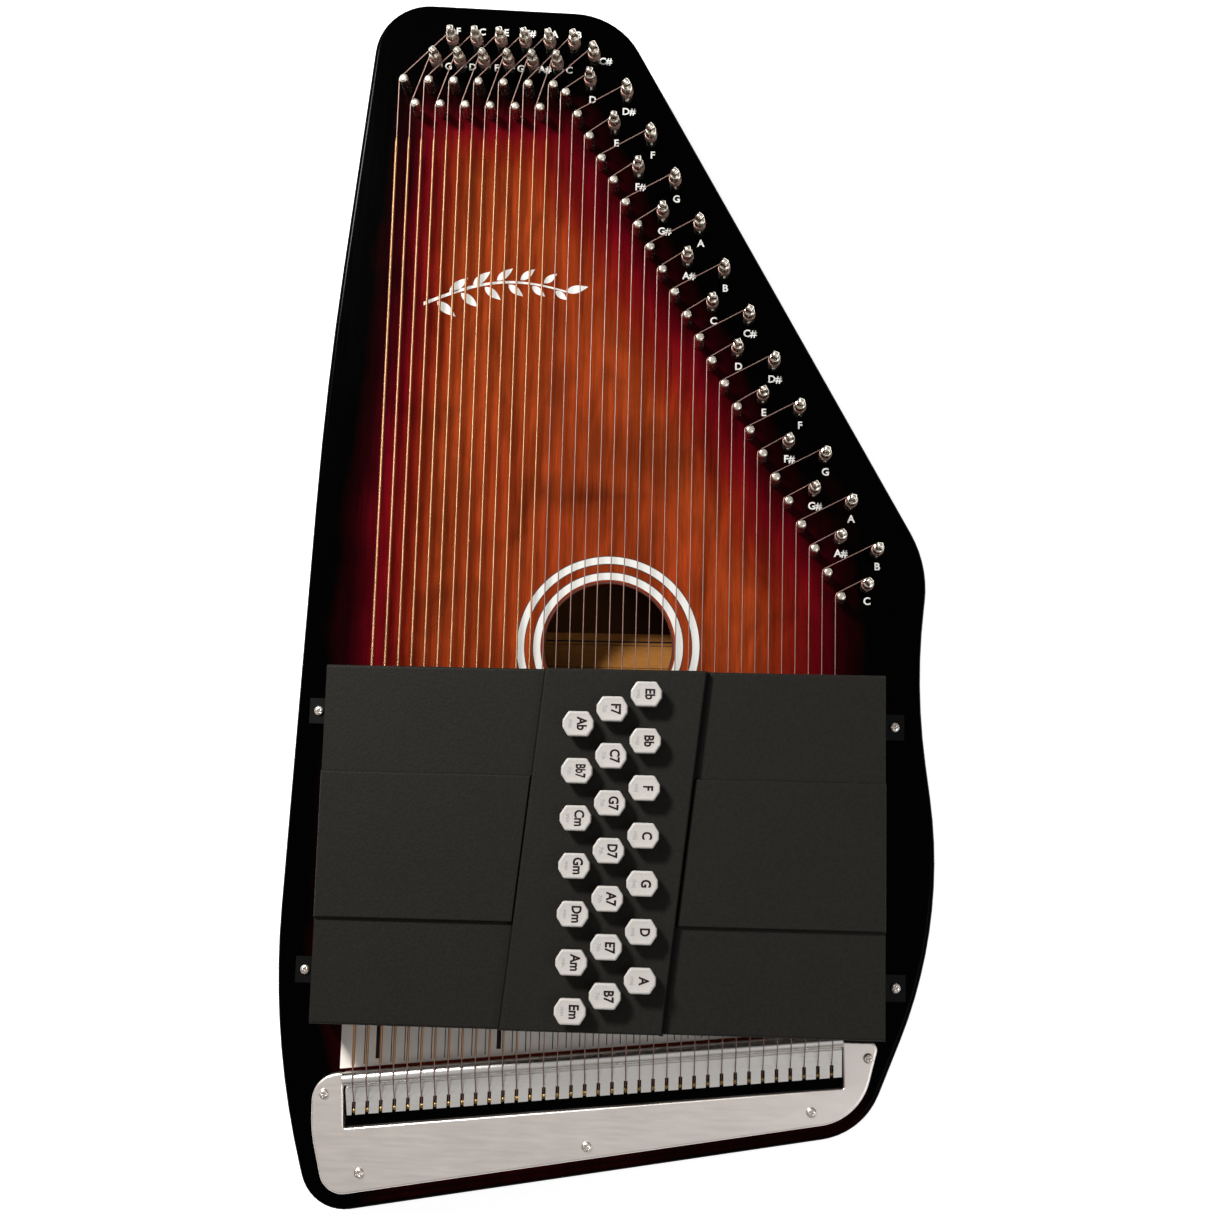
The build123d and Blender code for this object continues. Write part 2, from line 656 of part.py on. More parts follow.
BUTTON_CENTRES = [(COLUMNS[k % 3], bar_y(k)) for k in range(BAR_COUNT)]
with BuildPart() as button_panel:
    with BuildSketch(Plane.XY.offset(COVER_TOP)) as panel_plan:
        ends = [(0, COVER_FAR), (1, COVER_FAR), (1, COVER_NEAR), (0, COVER_NEAR)]
        polygon([panel_edge(side, y) for side, y in ends])
    extrude(amount=PANEL_TOP - COVER_TOP)
    fillet(button_panel.faces().sort_by(Axis.Z)[-1].edges(), PANEL_ROUND)
    with BuildSketch(Plane.XY.offset(COVER_TOP)):
        add(panel_plan.sketch)
        offset(amount=-SHELL, mode=Mode.REPLACE)
    extrude(amount=PANEL_TOP - SHELL - COVER_TOP, mode=Mode.SUBTRACT)
    tuck = LEDGE + FIT
    for low, high in ((COVER_FAR - SHELL, COVER_FAR), (COVER_NEAR, COVER_NEAR + SHELL)):
        with BuildSketch(Plane.XY.offset(SKIRT_BOTTOM)):
            polygon([
                panel_edge(0, high, tuck), panel_edge(1, high, -tuck),
                panel_edge(1, low, -tuck), panel_edge(0, low, tuck),
            ])
        extrude(amount=COVER_TOP - SKIRT_BOTTOM)
    holes(BUTTON_CENTRES, STEM_RADIUS + STEM_CLEARANCE, COVER_TOP, PANEL_TOP)
finish_part(button_panel.part, "button_panel")
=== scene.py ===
from math import asin, atan2, cos, hypot, pi, sin

import bmesh
import bpy
from mathutils import Matrix, Vector


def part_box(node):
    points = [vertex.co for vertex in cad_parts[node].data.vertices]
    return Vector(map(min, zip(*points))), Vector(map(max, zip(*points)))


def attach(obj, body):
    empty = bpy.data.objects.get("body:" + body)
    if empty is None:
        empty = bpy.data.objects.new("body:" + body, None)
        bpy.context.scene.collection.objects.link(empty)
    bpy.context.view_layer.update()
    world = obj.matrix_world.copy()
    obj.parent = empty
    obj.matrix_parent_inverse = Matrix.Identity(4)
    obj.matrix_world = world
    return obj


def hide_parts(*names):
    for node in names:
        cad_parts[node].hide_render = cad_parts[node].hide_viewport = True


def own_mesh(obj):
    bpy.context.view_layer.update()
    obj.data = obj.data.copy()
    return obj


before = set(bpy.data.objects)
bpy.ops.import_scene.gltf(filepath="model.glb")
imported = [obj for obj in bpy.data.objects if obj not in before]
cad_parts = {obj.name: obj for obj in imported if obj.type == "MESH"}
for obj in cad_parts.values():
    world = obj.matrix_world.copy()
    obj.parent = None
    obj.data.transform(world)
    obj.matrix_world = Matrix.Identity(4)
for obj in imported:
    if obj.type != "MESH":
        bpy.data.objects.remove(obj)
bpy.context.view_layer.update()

MM = 0.001
ROOT = "instrument"
BOARD_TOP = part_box("soundboard")[1][2]
BACK_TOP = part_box("back_plate")[1][2]
BARS = 21
BAR_BODIES = [f"chord_{n + 1:02d}" for n in range(BARS)]
COMB_SLOPE = 0.1071  # of the anchor bar, across the strings


# ---------------------------------------------------------------- camera, floor, light
LENS, SENSOR_WIDTH = 50, 36  # millimetres
CAMERA_PLACE = (0.0386, -0.134, 0.8355)
CAMERA_BACK = (0.0513, -0.1499, 0.9874)
CAMERA_RIGHT = (0.9985, 0.026, -0.0479)


def make_camera():
    """Nearly overhead, tilted about nine degrees towards the wide end."""
    data = bpy.data.cameras.new("camera")
    data.lens, data.sensor_width = LENS, SENSOR_WIDTH
    data.clip_start, data.clip_end = 0.01, 20
    camera = bpy.data.objects.new("camera", data)
    bpy.context.collection.objects.link(camera)
    back = Vector(CAMERA_BACK).normalized()
    right = Vector(CAMERA_RIGHT)
    right = (right - back * right.dot(back)).normalized()
    up = back.cross(right)
    turn = Matrix((right, up, back)).transposed().to_4x4()
    camera.matrix_world = Matrix.Translation(CAMERA_PLACE) @ turn
    bpy.context.scene.camera = camera


def area_light(name, place, size, power, colour):
    """A round lamp that faces the origin, under the middle of the object."""
    data = bpy.data.lights.new(name, "AREA")
    data.shape, data.size, data.energy, data.color = "DISK", size, power, colour
    light = bpy.data.objects.new(name, data)
    bpy.context.collection.objects.link(light)
    turn = Vector(place).to_track_quat("Z", "Y").to_matrix().to_4x4()
    light.matrix_world = Matrix.Translation(place) @ turn


SKY_ON_SURFACES, SKY_IN_REFLECTIONS = 0.36, 0.74
LOW_SKY, HIGH_SKY = (0.16, 0.15, 0.14), (0.66, 0.64, 0.63)
LOW_SKY_END, HIGH_SKY_START = 0.25, 0.85  # heights, from 0 at the horizon to 1 overhead
BACKDROP = (0.9, 0.9, 0.9)
FLOOR_HALF, FLOOR_GLOW = 4, 0.75


def make_studio():
    """A pale floor and backdrop, two lamps, and a sky that is darker near the horizon."""
    scene = bpy.context.scene
    scene.view_settings.view_transform = "Standard"
    world = bpy.data.worlds.new("studio")
    scene.world = world
    world.use_nodes = True
    nodes, links = world.node_tree.nodes, world.node_tree.links
    nodes.clear()
    coordinates = nodes.new("ShaderNodeTexCoord")
    split = nodes.new("ShaderNodeSeparateXYZ")
    ramp = nodes.new("ShaderNodeValToRGB")
    low_sky, high_sky = ramp.color_ramp.elements
    low_sky.position, low_sky.color = LOW_SKY_END, (*LOW_SKY, 1)
    high_sky.position, high_sky.color = HIGH_SKY_START, (*HIGH_SKY, 1)
    sky = nodes.new("ShaderNodeBackground")
    rays = nodes.new("ShaderNodeLightPath")
    strength = nodes.new("ShaderNodeMapRange")
    strength.inputs["To Min"].default_value = SKY_ON_SURFACES
    strength.inputs["To Max"].default_value = SKY_IN_REFLECTIONS
    links.new(rays.outputs["Is Glossy Ray"], strength.inputs["Value"])
    links.new(strength.outputs[0], sky.inputs["Strength"])
    backdrop = nodes.new("ShaderNodeBackground")
    backdrop.inputs["Color"].default_value = (*BACKDROP, 1)
    seen = nodes.new("ShaderNodeMixShader")
    output = nodes.new("ShaderNodeOutputWorld")
    links.new(coordinates.outputs["Generated"], split.inputs[0])
    links.new(split.outputs["Z"], ramp.inputs["Fac"])
    links.new(ramp.outputs["Color"], sky.inputs["Color"])
    links.new(rays.outputs["Is Camera Ray"], seen.inputs[0])
    links.new(sky.outputs[0], seen.inputs[1])
    links.new(backdrop.outputs[0], seen.inputs[2])
    links.new(seen.outputs[0], output.inputs["Surface"])
    area_light("key", (-0.75, 0.75, 1.15), 0.3, 36, (1, 0.985, 0.96))
    area_light("fill", (0.9, -0.5, 1.2), 0.9, 5, (0.95, 0.97, 1))

    bm = bmesh.new()
    bmesh.ops.create_grid(bm, x_segments=1, y_segments=1, size=FLOOR_HALF)
    paper = Shader("floor_paper", 0.9, specular=0.1)
    paper.set("Base Color", paper.mix(paper.noise(30.0), (0.93, 0.93, 0.93), (0.9, 0.9, 0.9)))
    paper.set("Emission Color", (1.0, 1.0, 1.0))
    paper.set("Emission Strength", FLOOR_GLOW)
    object_from(bm, "floor", paper.material)


# ---------------------------------------------------------------- material helpers
def srgb(*levels):
    """Linear colour from eight-bit display levels."""
    scaled = [level / 255 for level in levels]
    return tuple(s / 12.92 if s <= 0.04045 else ((s + 0.055) / 1.055) ** 2.4 for s in scaled)


class Shader:
    """A material's node tree, with short calls for the nodes used here."""

    def __init__(self, name, roughness, metallic=0.0, specular=0.5):
        self.material = bpy.data.materials.new(name)
        self.material.use_nodes = True
        self.nodes, self.links = self.material.node_tree.nodes, self.material.node_tree.links
        self.surface = self.nodes["Principled BSDF"]
        self.set("Roughness", roughness)
        self.set("Metallic", metallic)
        self.set("Specular IOR Level", specular)
        self.place = self.nodes.new("ShaderNodeTexCoord").outputs["Object"]

    def set(self, socket, value):
        """Give a surface socket a value, a colour or another node's output."""
        self.feed(self.surface.inputs[socket], value)

    def feed(self, socket, value):
        """Link an output to a socket, or store a number or a colour in it."""
        if isinstance(value, bpy.types.NodeSocket):
            self.links.new(value, socket)
        elif isinstance(value, tuple) and len(value) == 3 and len(socket.default_value) == 4:
            socket.default_value = (*value, 1)
        else:
            socket.default_value = value

    def node(self, kind, output=0, settings=None, **inputs):
        """Add a node; inputs go by name, with _ for a space, or by number, as in _0."""
        made = self.nodes.new("ShaderNode" + kind)
        for key, value in (settings or {}).items():
            setattr(made, key, value)
        for key, value in inputs.items():
            key = int(key[1:]) if key[0] == "_" else key.replace("_", " ")
            self.feed(made.inputs[key], value)
        return made.outputs[output]

    def stretched(self, x, y, z):
        """The object's coordinates in metres, multiplied along each axis."""
        return self.node("Mapping", Vector=self.place, Scale=(x, y, z))

    def noise(self, scale, detail=4.0, rough=0.55, distortion=0.0, vector=None):
        return self.node(
            "TexNoise", "Fac", Vector=vector or self.place, Scale=scale, Detail=detail,
            Roughness=rough, Distortion=distortion,
        )

    def math(self, operation, a, b, c=0.0):
        return self.node("Math", settings={"operation": operation}, _0=a, _1=b, _2=c)

    def span(self, value, low, high, to_low=0.0, to_high=1.0):
        """Map a range of a value onto another range, and clamp it."""
        return self.node(
            "MapRange", Value=value, From_Min=low, From_Max=high, To_Min=to_low, To_Max=to_high
        )

    def ramp(self, value, stops):
        """Colours along a value, from a list of positions and colours."""
        made = self.nodes.new("ShaderNodeValToRGB")
        self.links.new(value, made.inputs["Fac"])
        elements = made.color_ramp.elements
        while len(elements) < len(stops):
            elements.new(0.5)
        for element, (position, colour) in zip(elements, stops):
            element.position, element.color = position, (*colour, 1)
        return made.outputs["Color"]

    def mix(self, share, a, b, blend="MIX"):
        """Colour a where the share is 0, turning to b where it is 1."""
        made = self.nodes.new("ShaderNodeMix")
        made.data_type, made.blend_type = "RGBA", blend
        for key, value in ((0, share), (6, a), (7, b)):  # the factor and the two colours
            self.feed(made.inputs[key], value)
        return made.outputs[2]

    def bump(self, height, distance, strength):
        """Roughen the surface by a height, over a distance in metres."""
        bumped = self.node("Bump", Height=height, Distance=distance, Strength=strength)
        self.set("Normal", bumped)

    def axis(self, index):
        """One of the object's coordinates: 0, 1 or 2 for x, y or z."""
        return self.node("SeparateXYZ", index, Vector=self.place)

    def plane_distance(self, point, inward):
        """Distance in metres inside an edge that passes through a point."""
        normal = Vector(inward).normalized()
        dot = self.node(
            "VectorMath", "Value", {"operation": "DOT_PRODUCT"}, _0=self.place, _1=tuple(normal)
        )
        return self.math("SUBTRACT", dot, normal.dot(Vector(point)))


def plain(name, colour, roughness, variation=0.03, grain=900.0, depth=0.00002, **options):
    """One colour with slight mottling and a fine surface grain."""
    shader = Shader(name, roughness, **options)
    mottle = shader.noise(60.0)
    darker = tuple(c * (1 - 4 * variation) for c in colour)
    shader.set("Base Color", shader.mix(mottle, colour, darker))
    shader.set("Roughness", shader.span(mottle, 0.3, 0.7, roughness * 0.85, min(1, roughness * 1.15)))
    shader.bump(shader.noise(grain, 2.0), depth, 0.6)
    return shader.material


# ---------------------------------------------------------------- materials
BOX_MIDDLE = (-0.002, -0.033, (BACK_TOP + BOARD_TOP) / 2)  # inside the hollow of the box
# The sunburst's edges: a point on each, the way in, and in millimetres how far in the
# black ends and how far in the clear colour is full. The last is the lower bass corner.
BURST_EDGES = [
    ((-0.1469, 0.0, 0), (1, -0.033, 0), 11, 66),
    ((-0.1414, 0.12, 0), (1, -0.093, 0), 13, 62),
    ((0.0178, 0.248, 0), (-1.8044, -1, 0), 29, 88),
    ((-0.05, 0.291, 0), (-0.056, -1, 0), 43, 93),
    ((0.147, -0.03, 0), (-1, -0.02, 0), 26, 86),
    ((-0.005, -0.2745, 0), (-0.1756, 1, 0), 0, 24),
    ((-0.154, -0.218, 0), (3.4, 1, 0), 22, 62),
]


def burst_share(shader):
    """0 at the black edge, 1 in the clear middle, blended smoothly round the corners."""
    nearest = None
    for point, inward, black, clear in BURST_EDGES:
        inside = shader.plane_distance(point, inward)
        share = shader.span(inside, black * MM, clear * MM)
        nearest = share if nearest is None else shader.math("SMOOTH_MIN", nearest, share, 0.25)
    return nearest


# The band of painted shadow: black painted on the board in the gap between the anchor bar and its cover
# plate.
SHADOW_BAND_NEAR, SHADOW_BAND_FAR = -9 * MM, 2 * MM  # from the anchor bar's near edge


def painted_gap_shadow(shader):
    """1 where the board is painted black under the anchor bar and inside its cover, as painted shadow in
    the gap.
    """
    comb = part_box("anchor_bar")
    inward = shader.plane_distance((comb[0][0], comb[0][1], 0), (-COMB_SLOPE, 1, 0))
    below = shader.math("GREATER_THAN", inward, SHADOW_BAND_NEAR)
    return shader.math("MULTIPLY", below, shader.math("LESS_THAN", inward, SHADOW_BAND_FAR))


def wood_grain(shader):
    """Grain that runs along the strings, from 0 to 1."""
    fine = shader.noise(1.0, 6.0, 0.7, 0.3, shader.stretched(1100, 40, 60))
    broad = shader.noise(1.0, 3.0, 0.5, 0.6, shader.stretched(130, 10, 30))
    return shader.math("ADD", shader.math("MULTIPLY", fine, 0.6), shader.math("MULTIPLY", broad, 0.4))


# Darker marks in the wood above the sound hole: middle and half sizes.
STAINS = [(0.025, 0.062, 0.055, 0.022), (-0.02, 0.04, 0.05, 0.014)]


def soft_spot(shader, x, y, half_x, half_y):
    """1 in the middle of a soft oval, 0 outside it."""
    moved = shader.node(
        "Mapping", settings={"vector_type": "TEXTURE"}, Vector=shader.place,
        Location=(x, y, BOARD_TOP), Scale=(half_x, half_y, 1.0),
    )
    away = shader.node("VectorMath", "Value", {"operation": "LENGTH"}, _0=moved)
    return shader.span(away, 1.0, 0.1)


def sunburst():
    """Stained wood under lacquer, from black at the edges through dark red to amber."""
    shader = Shader("sunburst_lacquer", 0.12, specular=0.02)
    share = burst_share(shader)
    cloud = shader.noise(16.0, 3.0, 0.5, 0.8)
    share = shader.math("ADD", share, shader.span(cloud, 0.3, 0.7, -0.05, 0.05))
    tint = shader.ramp(share, [
        (0.02, (0.0, 0.0, 0.0)), (0.1, srgb(16, 0, 0)), (0.19, srgb(25, 0, 2)), (0.28, srgb(44, 1, 5)),
        (0.37, srgb(72, 2, 10)), (0.46, srgb(94, 6, 13)), (0.62, srgb(106, 20, 12)),
        (0.74, srgb(118, 34, 13)), (0.9, srgb(135, 52, 20)),
    ])
    grain = wood_grain(shader)
    figure = shader.noise(1.0, 2.0, 0.5, 1.2, shader.stretched(60, 24, 10))
    light = shader.span(grain, 0.34, 0.66, 0.52, 1.28)
    light = shader.math("MULTIPLY", light, shader.span(figure, 0.3, 0.7, 0.7, 1.2))
    stain = shader.noise(1.0, 3.0, 0.6, 1.5, shader.stretched(14, 26, 10))
    spots = shader.math("MAXIMUM", *[soft_spot(shader, *spot) for spot in STAINS])
    spots = shader.math("MULTIPLY", spots, shader.span(stain, 0.3, 0.62, 0.1, 1.0))
    light = shader.math("MULTIPLY", light, shader.span(spots, 0.0, 1.0, 1.0, 0.45))
    grey = shader.node("CombineColor", Red=light, Green=light, Blue=light)
    stained = shader.mix(1.0, tint, grey, "MULTIPLY")
    # The board is painted black in the gap by the anchor bar: painted shadow, not a finish of the board.
    shader.set("Base Color", shader.mix(painted_gap_shadow(shader), stained, (0.0, 0.0, 0.0)))
    shader.set("Roughness", shader.span(grain, 0.3, 0.7, 0.12, 0.2))
    shader.bump(grain, 0.00002, 0.15)
    return shader.material


def bare_wood(shader, pale, dark):
    """Unlacquered wood, between two colours."""
    return shader.mix(wood_grain(shader), dark, pale)


def black_lacquer():
    """Gloss black outside; faces that look towards the box's middle are bare wood."""
    gloss, bare = 0.14, 0.7
    shader = Shader("black_lacquer", gloss, specular=0.03)
    # The bare wood inside the box is a dark brown, far darker than the spruce braces: its wood tone with
    # painted shade of the box's inside.
    bare_wood_with_painted_shade = bare_wood(shader, (0.09, 0.035, 0.012), (0.045, 0.016, 0.005))
    normal = shader.nodes.new("ShaderNodeNewGeometry").outputs["Normal"]
    from_middle = shader.node(
        "VectorMath", 0, {"operation": "SUBTRACT"}, _0=shader.place, _1=BOX_MIDDLE
    )
    facing_out = shader.node(
        "VectorMath", "Value", {"operation": "DOT_PRODUCT"}, _0=normal, _1=from_middle
    )
    inside_box = shader.math("LESS_THAN", facing_out, 0.0)
    speck = shader.noise(400.0, 2.0)
    black = shader.mix(speck, srgb(1, 1, 1), srgb(4, 4, 4))
    shader.set("Base Color", shader.mix(inside_box, black, bare_wood_with_painted_shade))
    shader.set("Roughness", shader.span(inside_box, 0.0, 1.0, gloss, bare))
    shader.bump(shader.noise(90.0, 2.0), 0.00002, 0.15)
    return shader.material


def raw_spruce():
    """Pale unfinished wood with a strong grain."""
    shader = Shader("raw_spruce", 0.75, specular=0.3)
    shader.set("Base Color", bare_wood(shader, (0.6, 0.42, 0.22), (0.42, 0.27, 0.12)))
    shader.bump(wood_grain(shader), 0.00008, 0.5)
    return shader.material


def metal(name, colour, roughness, stretch=(400, 400, 400), depth=0.00001):
    """Polished metal with faint marks that run along the least stretched axis."""
    shader = Shader(name, roughness, metallic=1.0)
    marks = shader.noise(1.0, 4.0, 0.6, 0.2, shader.stretched(*stretch))
    haze = shader.noise(45.0, 3.0)
    shader.set("Base Color", shader.mix(haze, colour, tuple(c * 0.86 for c in colour)))
    rough = shader.math("ADD", shader.span(marks, 0.3, 0.7, 0.0, 0.08), roughness)
    shader.set("Roughness", shader.math("ADD", rough, shader.span(haze, 0.35, 0.7, 0.0, 0.05)))
    shader.bump(marks, depth, 0.35)
    return shader.material


def winding():
    """Wrap wire round a core: fine turns across the string."""
    shader = Shader("bronze_winding", 0.42, metallic=1.0)
    turns = shader.node(
        "TexWave", "Fac", {"bands_direction": "Y"}, Vector=shader.place, Scale=650.0,
        Distortion=0.2, Detail=1.0,
    )
    age = shader.noise(70.0, 3.0)
    copper = shader.mix(age, srgb(186, 144, 108), srgb(160, 120, 86))
    shader.set("Base Color", shader.mix(shader.span(turns, 0, 1, 0, 0.4), copper, srgb(108, 72, 46)))
    shader.bump(turns, 0.00006, 0.6)
    return shader.material


# The button panel's slanted sides: a point on each, the way out, and how far out of it
# and into it the dark band shows, in millimetres: the dark joint with the cover, and on
# the right a wider band that adds painted shadow cast by the raised panel.
PANEL_SIDES = [
    ((-0.0278, -0.0475, 0), (-1, 0.0972, 0), 0.9, 0.1),
    ((0.0453, -0.0475, 0), (1, -0.1078, 0), 1.6, 0.1),
]


def panel_joint_and_shadow(shader):
    """1 along the joint between the button panel and the covers beside it, widened on the right into a
    painted shadow of the raised panel.
    """
    joint_and_shadow_band = 0.0
    for point, outward, outside, inside in PANEL_SIDES:
        away = shader.plane_distance(point, outward)
        near = shader.math("MULTIPLY", shader.math("GREATER_THAN", away, -inside * MM),
                           shader.math("LESS_THAN", away, outside * MM))
        joint_and_shadow_band = shader.math("MAXIMUM", joint_and_shadow_band, near)
    return joint_and_shadow_band


def cover_plastic():
    """Black moulding with a fine leather-like texture."""
    shader = Shader("cover_plastic", 0.6, specular=0.12)
    cells = shader.node(
        "TexVoronoi", "Distance", {"feature": "SMOOTH_F1"}, Vector=shader.place, Scale=850.0,
        Smoothness=0.6, Randomness=1.0,
    )
    fine = shader.noise(1500.0, 3.0, 0.6)
    mottle = shader.noise(25.0, 3.0)
    base = shader.mix(mottle, srgb(23, 22, 19), srgb(17, 16, 14))
    raised = shader.mix(shader.span(cells, 0.1, 0.6, 0.0, 0.5), base, srgb(31, 30, 26))
    # The dark band by the button panel: a joint line, with painted shadow of the raised panel on the
    # right side.
    shader.set("Base Color", shader.mix(panel_joint_and_shadow(shader), raised, srgb(3, 3, 3)))
    shader.set("Roughness", shader.span(fine, 0.3, 0.7, 0.48, 0.66))
    height = shader.math("ADD", cells, shader.math("MULTIPLY", fine, 0.5))
    shader.bump(height, 0.00010, 0.55)
    return shader.material


FELT_THICKNESS = 5 * MM


def bar_and_felt():
    """A painted bar, with pale felt below its lower face."""
    shader = Shader("bar_and_felt", 0.6, specular=0.3)
    felt_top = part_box("chord_bar_01")[0][2] + FELT_THICKNESS
    is_bar = shader.math("GREATER_THAN", shader.axis(2), felt_top + 0.02 * MM)
    fibre = shader.noise(1800.0, 5.0, 0.7, 0.5)
    felt = shader.mix(fibre, (0.62, 0.6, 0.54), (0.42, 0.40, 0.35))
    paint = shader.mix(shader.noise(120.0), (0.10, 0.10, 0.11), (0.06, 0.06, 0.065))
    shader.set("Base Color", shader.mix(is_bar, felt, paint))
    shader.set("Roughness", shader.span(is_bar, 0, 1, 0.95, 0.4))
    shader.bump(fibre, 0.00015, 0.5)
    return shader.material


def button_plastic():
    """Warm white glossy plastic."""
    shader = Shader("button_plastic", 0.28, specular=0.5)
    mottle = shader.noise(140.0, 3.0)
    shader.set("Base Color", shader.mix(mottle, srgb(190, 186, 182), srgb(180, 176, 171)))
    shader.set("Subsurface Weight", 0.06)
    shader.set("Subsurface Scale", 0.002)
    shader.set("Roughness", shader.span(mottle, 0.3, 0.7, 0.22, 0.36))
    shader.bump(shader.noise(700.0, 2.0), 0.00001, 0.4)
    return shader.material


def amber_label():
    """Aged paper with fibres across the strings."""
    shader = Shader("amber_label", 0.7, specular=0.2)
    fibre = shader.noise(1.0, 5.0, 0.6, 0.4, shader.stretched(300, 900, 60))
    shader.set("Base Color", shader.mix(fibre, srgb(172, 116, 50), srgb(136, 84, 28)))
    shader.bump(fibre, 0.00003, 0.4)
    return shader.material


# ---------------------------------------------------------------- mesh helpers
def object_from(bm, name, material, smooth=False):
    """Turn a finished bmesh into an object of one material."""
    mesh = bpy.data.meshes.new(name)
    bmesh.ops.recalc_face_normals(bm, faces=bm.faces)
    bm.to_mesh(mesh)
    bm.free()
    mesh.materials.append(material)
    if smooth:
        mesh.polygons.foreach_set("use_smooth", [True] * len(mesh.polygons))
    made = bpy.data.objects.new(name, mesh)
    bpy.context.collection.objects.link(made)
    return made


def own(piece, body=ROOT, stands_for=()):
    """Fix a new piece to its body and the CAD nodes that it replaces."""
    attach(piece, body)
    if stands_for:
        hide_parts(*stands_for)


def turn_points(centre, radius, start, end, steps):
    """Points round a circle in the plane, from one angle to another."""
    angles = [start + (end - start) * s / steps for s in range(steps + 1)]
    return [(centre[0] + radius * cos(a), centre[1] + radius * sin(a)) for a in angles]


def add_prism(bm, outline, low, high):
    """A closed prism over a plan outline."""
    bottom = [bm.verts.new((x, y, low)) for x, y in outline]
    top = [bm.verts.new((x, y, high)) for x, y in outline]
    bm.faces.new(bottom[::-1])
    bm.faces.new(top)
    for i in range(len(outline)):
        j = (i + 1) % len(outline)
        bm.faces.new((bottom[i], bottom[j], top[j], top[i]))


def rectangle(left, right, near, far):
    """Corners of a plan rectangle, in order round it."""
    return [(left, near), (right, near), (right, far), (left, far)]


def add_lathe(bm, centre, profile, sides):
    """A profile of (radius, height) turned about an upright axis."""
    rings = []
    for radius, height in profile:
        if radius == 0:
            rings.append([bm.verts.new((centre[0], centre[1], height))])
            continue
        plan = turn_points(centre, radius, 0.0, 2 * pi, sides)[:-1]
        rings.append([bm.verts.new((x, y, height)) for x, y in plan])
    for a, b in zip(rings, rings[1:]):
        for s in range(sides):
            t = (s + 1) % sides
            corners = [a[s % len(a)], a[t % len(a)], b[t % len(b)], b[s % len(b)]]
            bm.faces.new(list(dict.fromkeys(corners)))  # a triangle beside the axis
    return rings


def add_ring(bm, centre, inner, outer, low, high, sides=160):
    """A flat ring with square edges."""
    profile = [(inner, low), (outer, low), (outer, high), (inner, high)]
    rings = add_lathe(bm, centre, profile, sides)
    for s in range(sides):
        t = (s + 1) % sides
        bm.faces.new((rings[-1][s], rings[-1][t], rings[0][t], rings[0][s]))


def curve_object(name, paths, radius, material, sides=4):
    """Round wires along lists of points, as one curve object of straight splines."""
    data = bpy.data.curves.new(name, "CURVE")
    data.dimensions = "3D"
    data.bevel_depth, data.bevel_resolution, data.use_fill_caps = radius, sides - 2, True
    for path in paths:
        spline = data.splines.new("POLY")
        spline.points.add(len(path) - 1)
        for point, place in zip(spline.points, path):
            point.co = (*place, 1)
    data.materials.append(material)
    made = bpy.data.objects.new(name, data)
    bpy.context.collection.objects.link(made)
    return made


def solids(node):
    """The low and high corners of each separate solid of a CAD node."""
    bm = bmesh.new()
    bm.from_mesh(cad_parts[node].data)
    bmesh.ops.remove_doubles(bm, verts=bm.verts, dist=1e-6)
    seen, boxes = set(), []
    for first in bm.verts:
        if first in seen:
            continue
        island, waiting = [], [first]
        seen.add(first)
        while waiting:
            vertex = waiting.pop()
            island.append(vertex.co.copy())
            for edge in vertex.link_edges:
                other = edge.other_vert(vertex)
                if other not in seen:
                    seen.add(other)
                    waiting.append(other)
        low = Vector([min(c[k] for c in island) for k in range(3)])
        high = Vector([max(c[k] for c in island) for k in range(3)])
        boxes.append((low, high))
    bm.free()
    return boxes


def middle(box):
    """The centre of a pair of low and high corners."""
    return (box[0] + box[1]) / 2


FONT_LINE = 0.72  # height of a capital letter for a text size of 1


def add_text(bm, words, place, height, turn=0.0, squeeze=1.0, bold=0.0, thick=0.04 * MM):
    """Closed raised lettering, centred on a place, with capitals of the given height."""
    data = bpy.data.curves.new("text", "FONT")
    data.body, data.size, data.extrude = words, height / FONT_LINE, thick / 2
    data.align_x, data.align_y = "CENTER", "CENTER"
    data.resolution_u, data.offset = 3, bold * height
    text = bpy.data.objects.new("text", data)
    mesh = bpy.data.meshes.new_from_object(text)
    scale = Matrix.Diagonal((squeeze, 1, 1, 1))
    lifted = Vector(place) + Vector((0, 0, thick / 2))
    mesh.transform(Matrix.Translation(lifted) @ Matrix.Rotation(turn, 4, "Z") @ scale)
    bm.from_mesh(mesh)
    bpy.data.meshes.remove(mesh)
    bpy.data.objects.remove(text)
    bpy.data.curves.remove(data)


# ---------------------------------------------------------------- strings
WOUND = 13
WOUND_RADII = (0.70 * MM, 0.45 * MM)
PLAIN_RADII = (0.28 * MM, 0.20 * MM)
CORE_RADIUS = 0.28 * MM
WINDING_START = 5 * MM  # beyond the ridge
WINDING_END = 218 * MM  # the y of its far end
TAPER = 2 * MM
BALL_RADIUS = 1.5 * MM
BALL_TO_RIDGE = 14.761 * MM
RIDGE_RADIUS = 3.0 * MM
GAP = 0.06 * MM  # between a string and the anchor bar
PIN_CLEARANCE = 0.03 * MM
PIN_RADIUS = 2.5 * MM
COIL_TURNS = 6.25
COIL_STEPS = int(24 * COIL_TURNS)
PITCH = 2.2  # of the turns on a pin, in wire radii
WIRES_PER_PIECE = 8


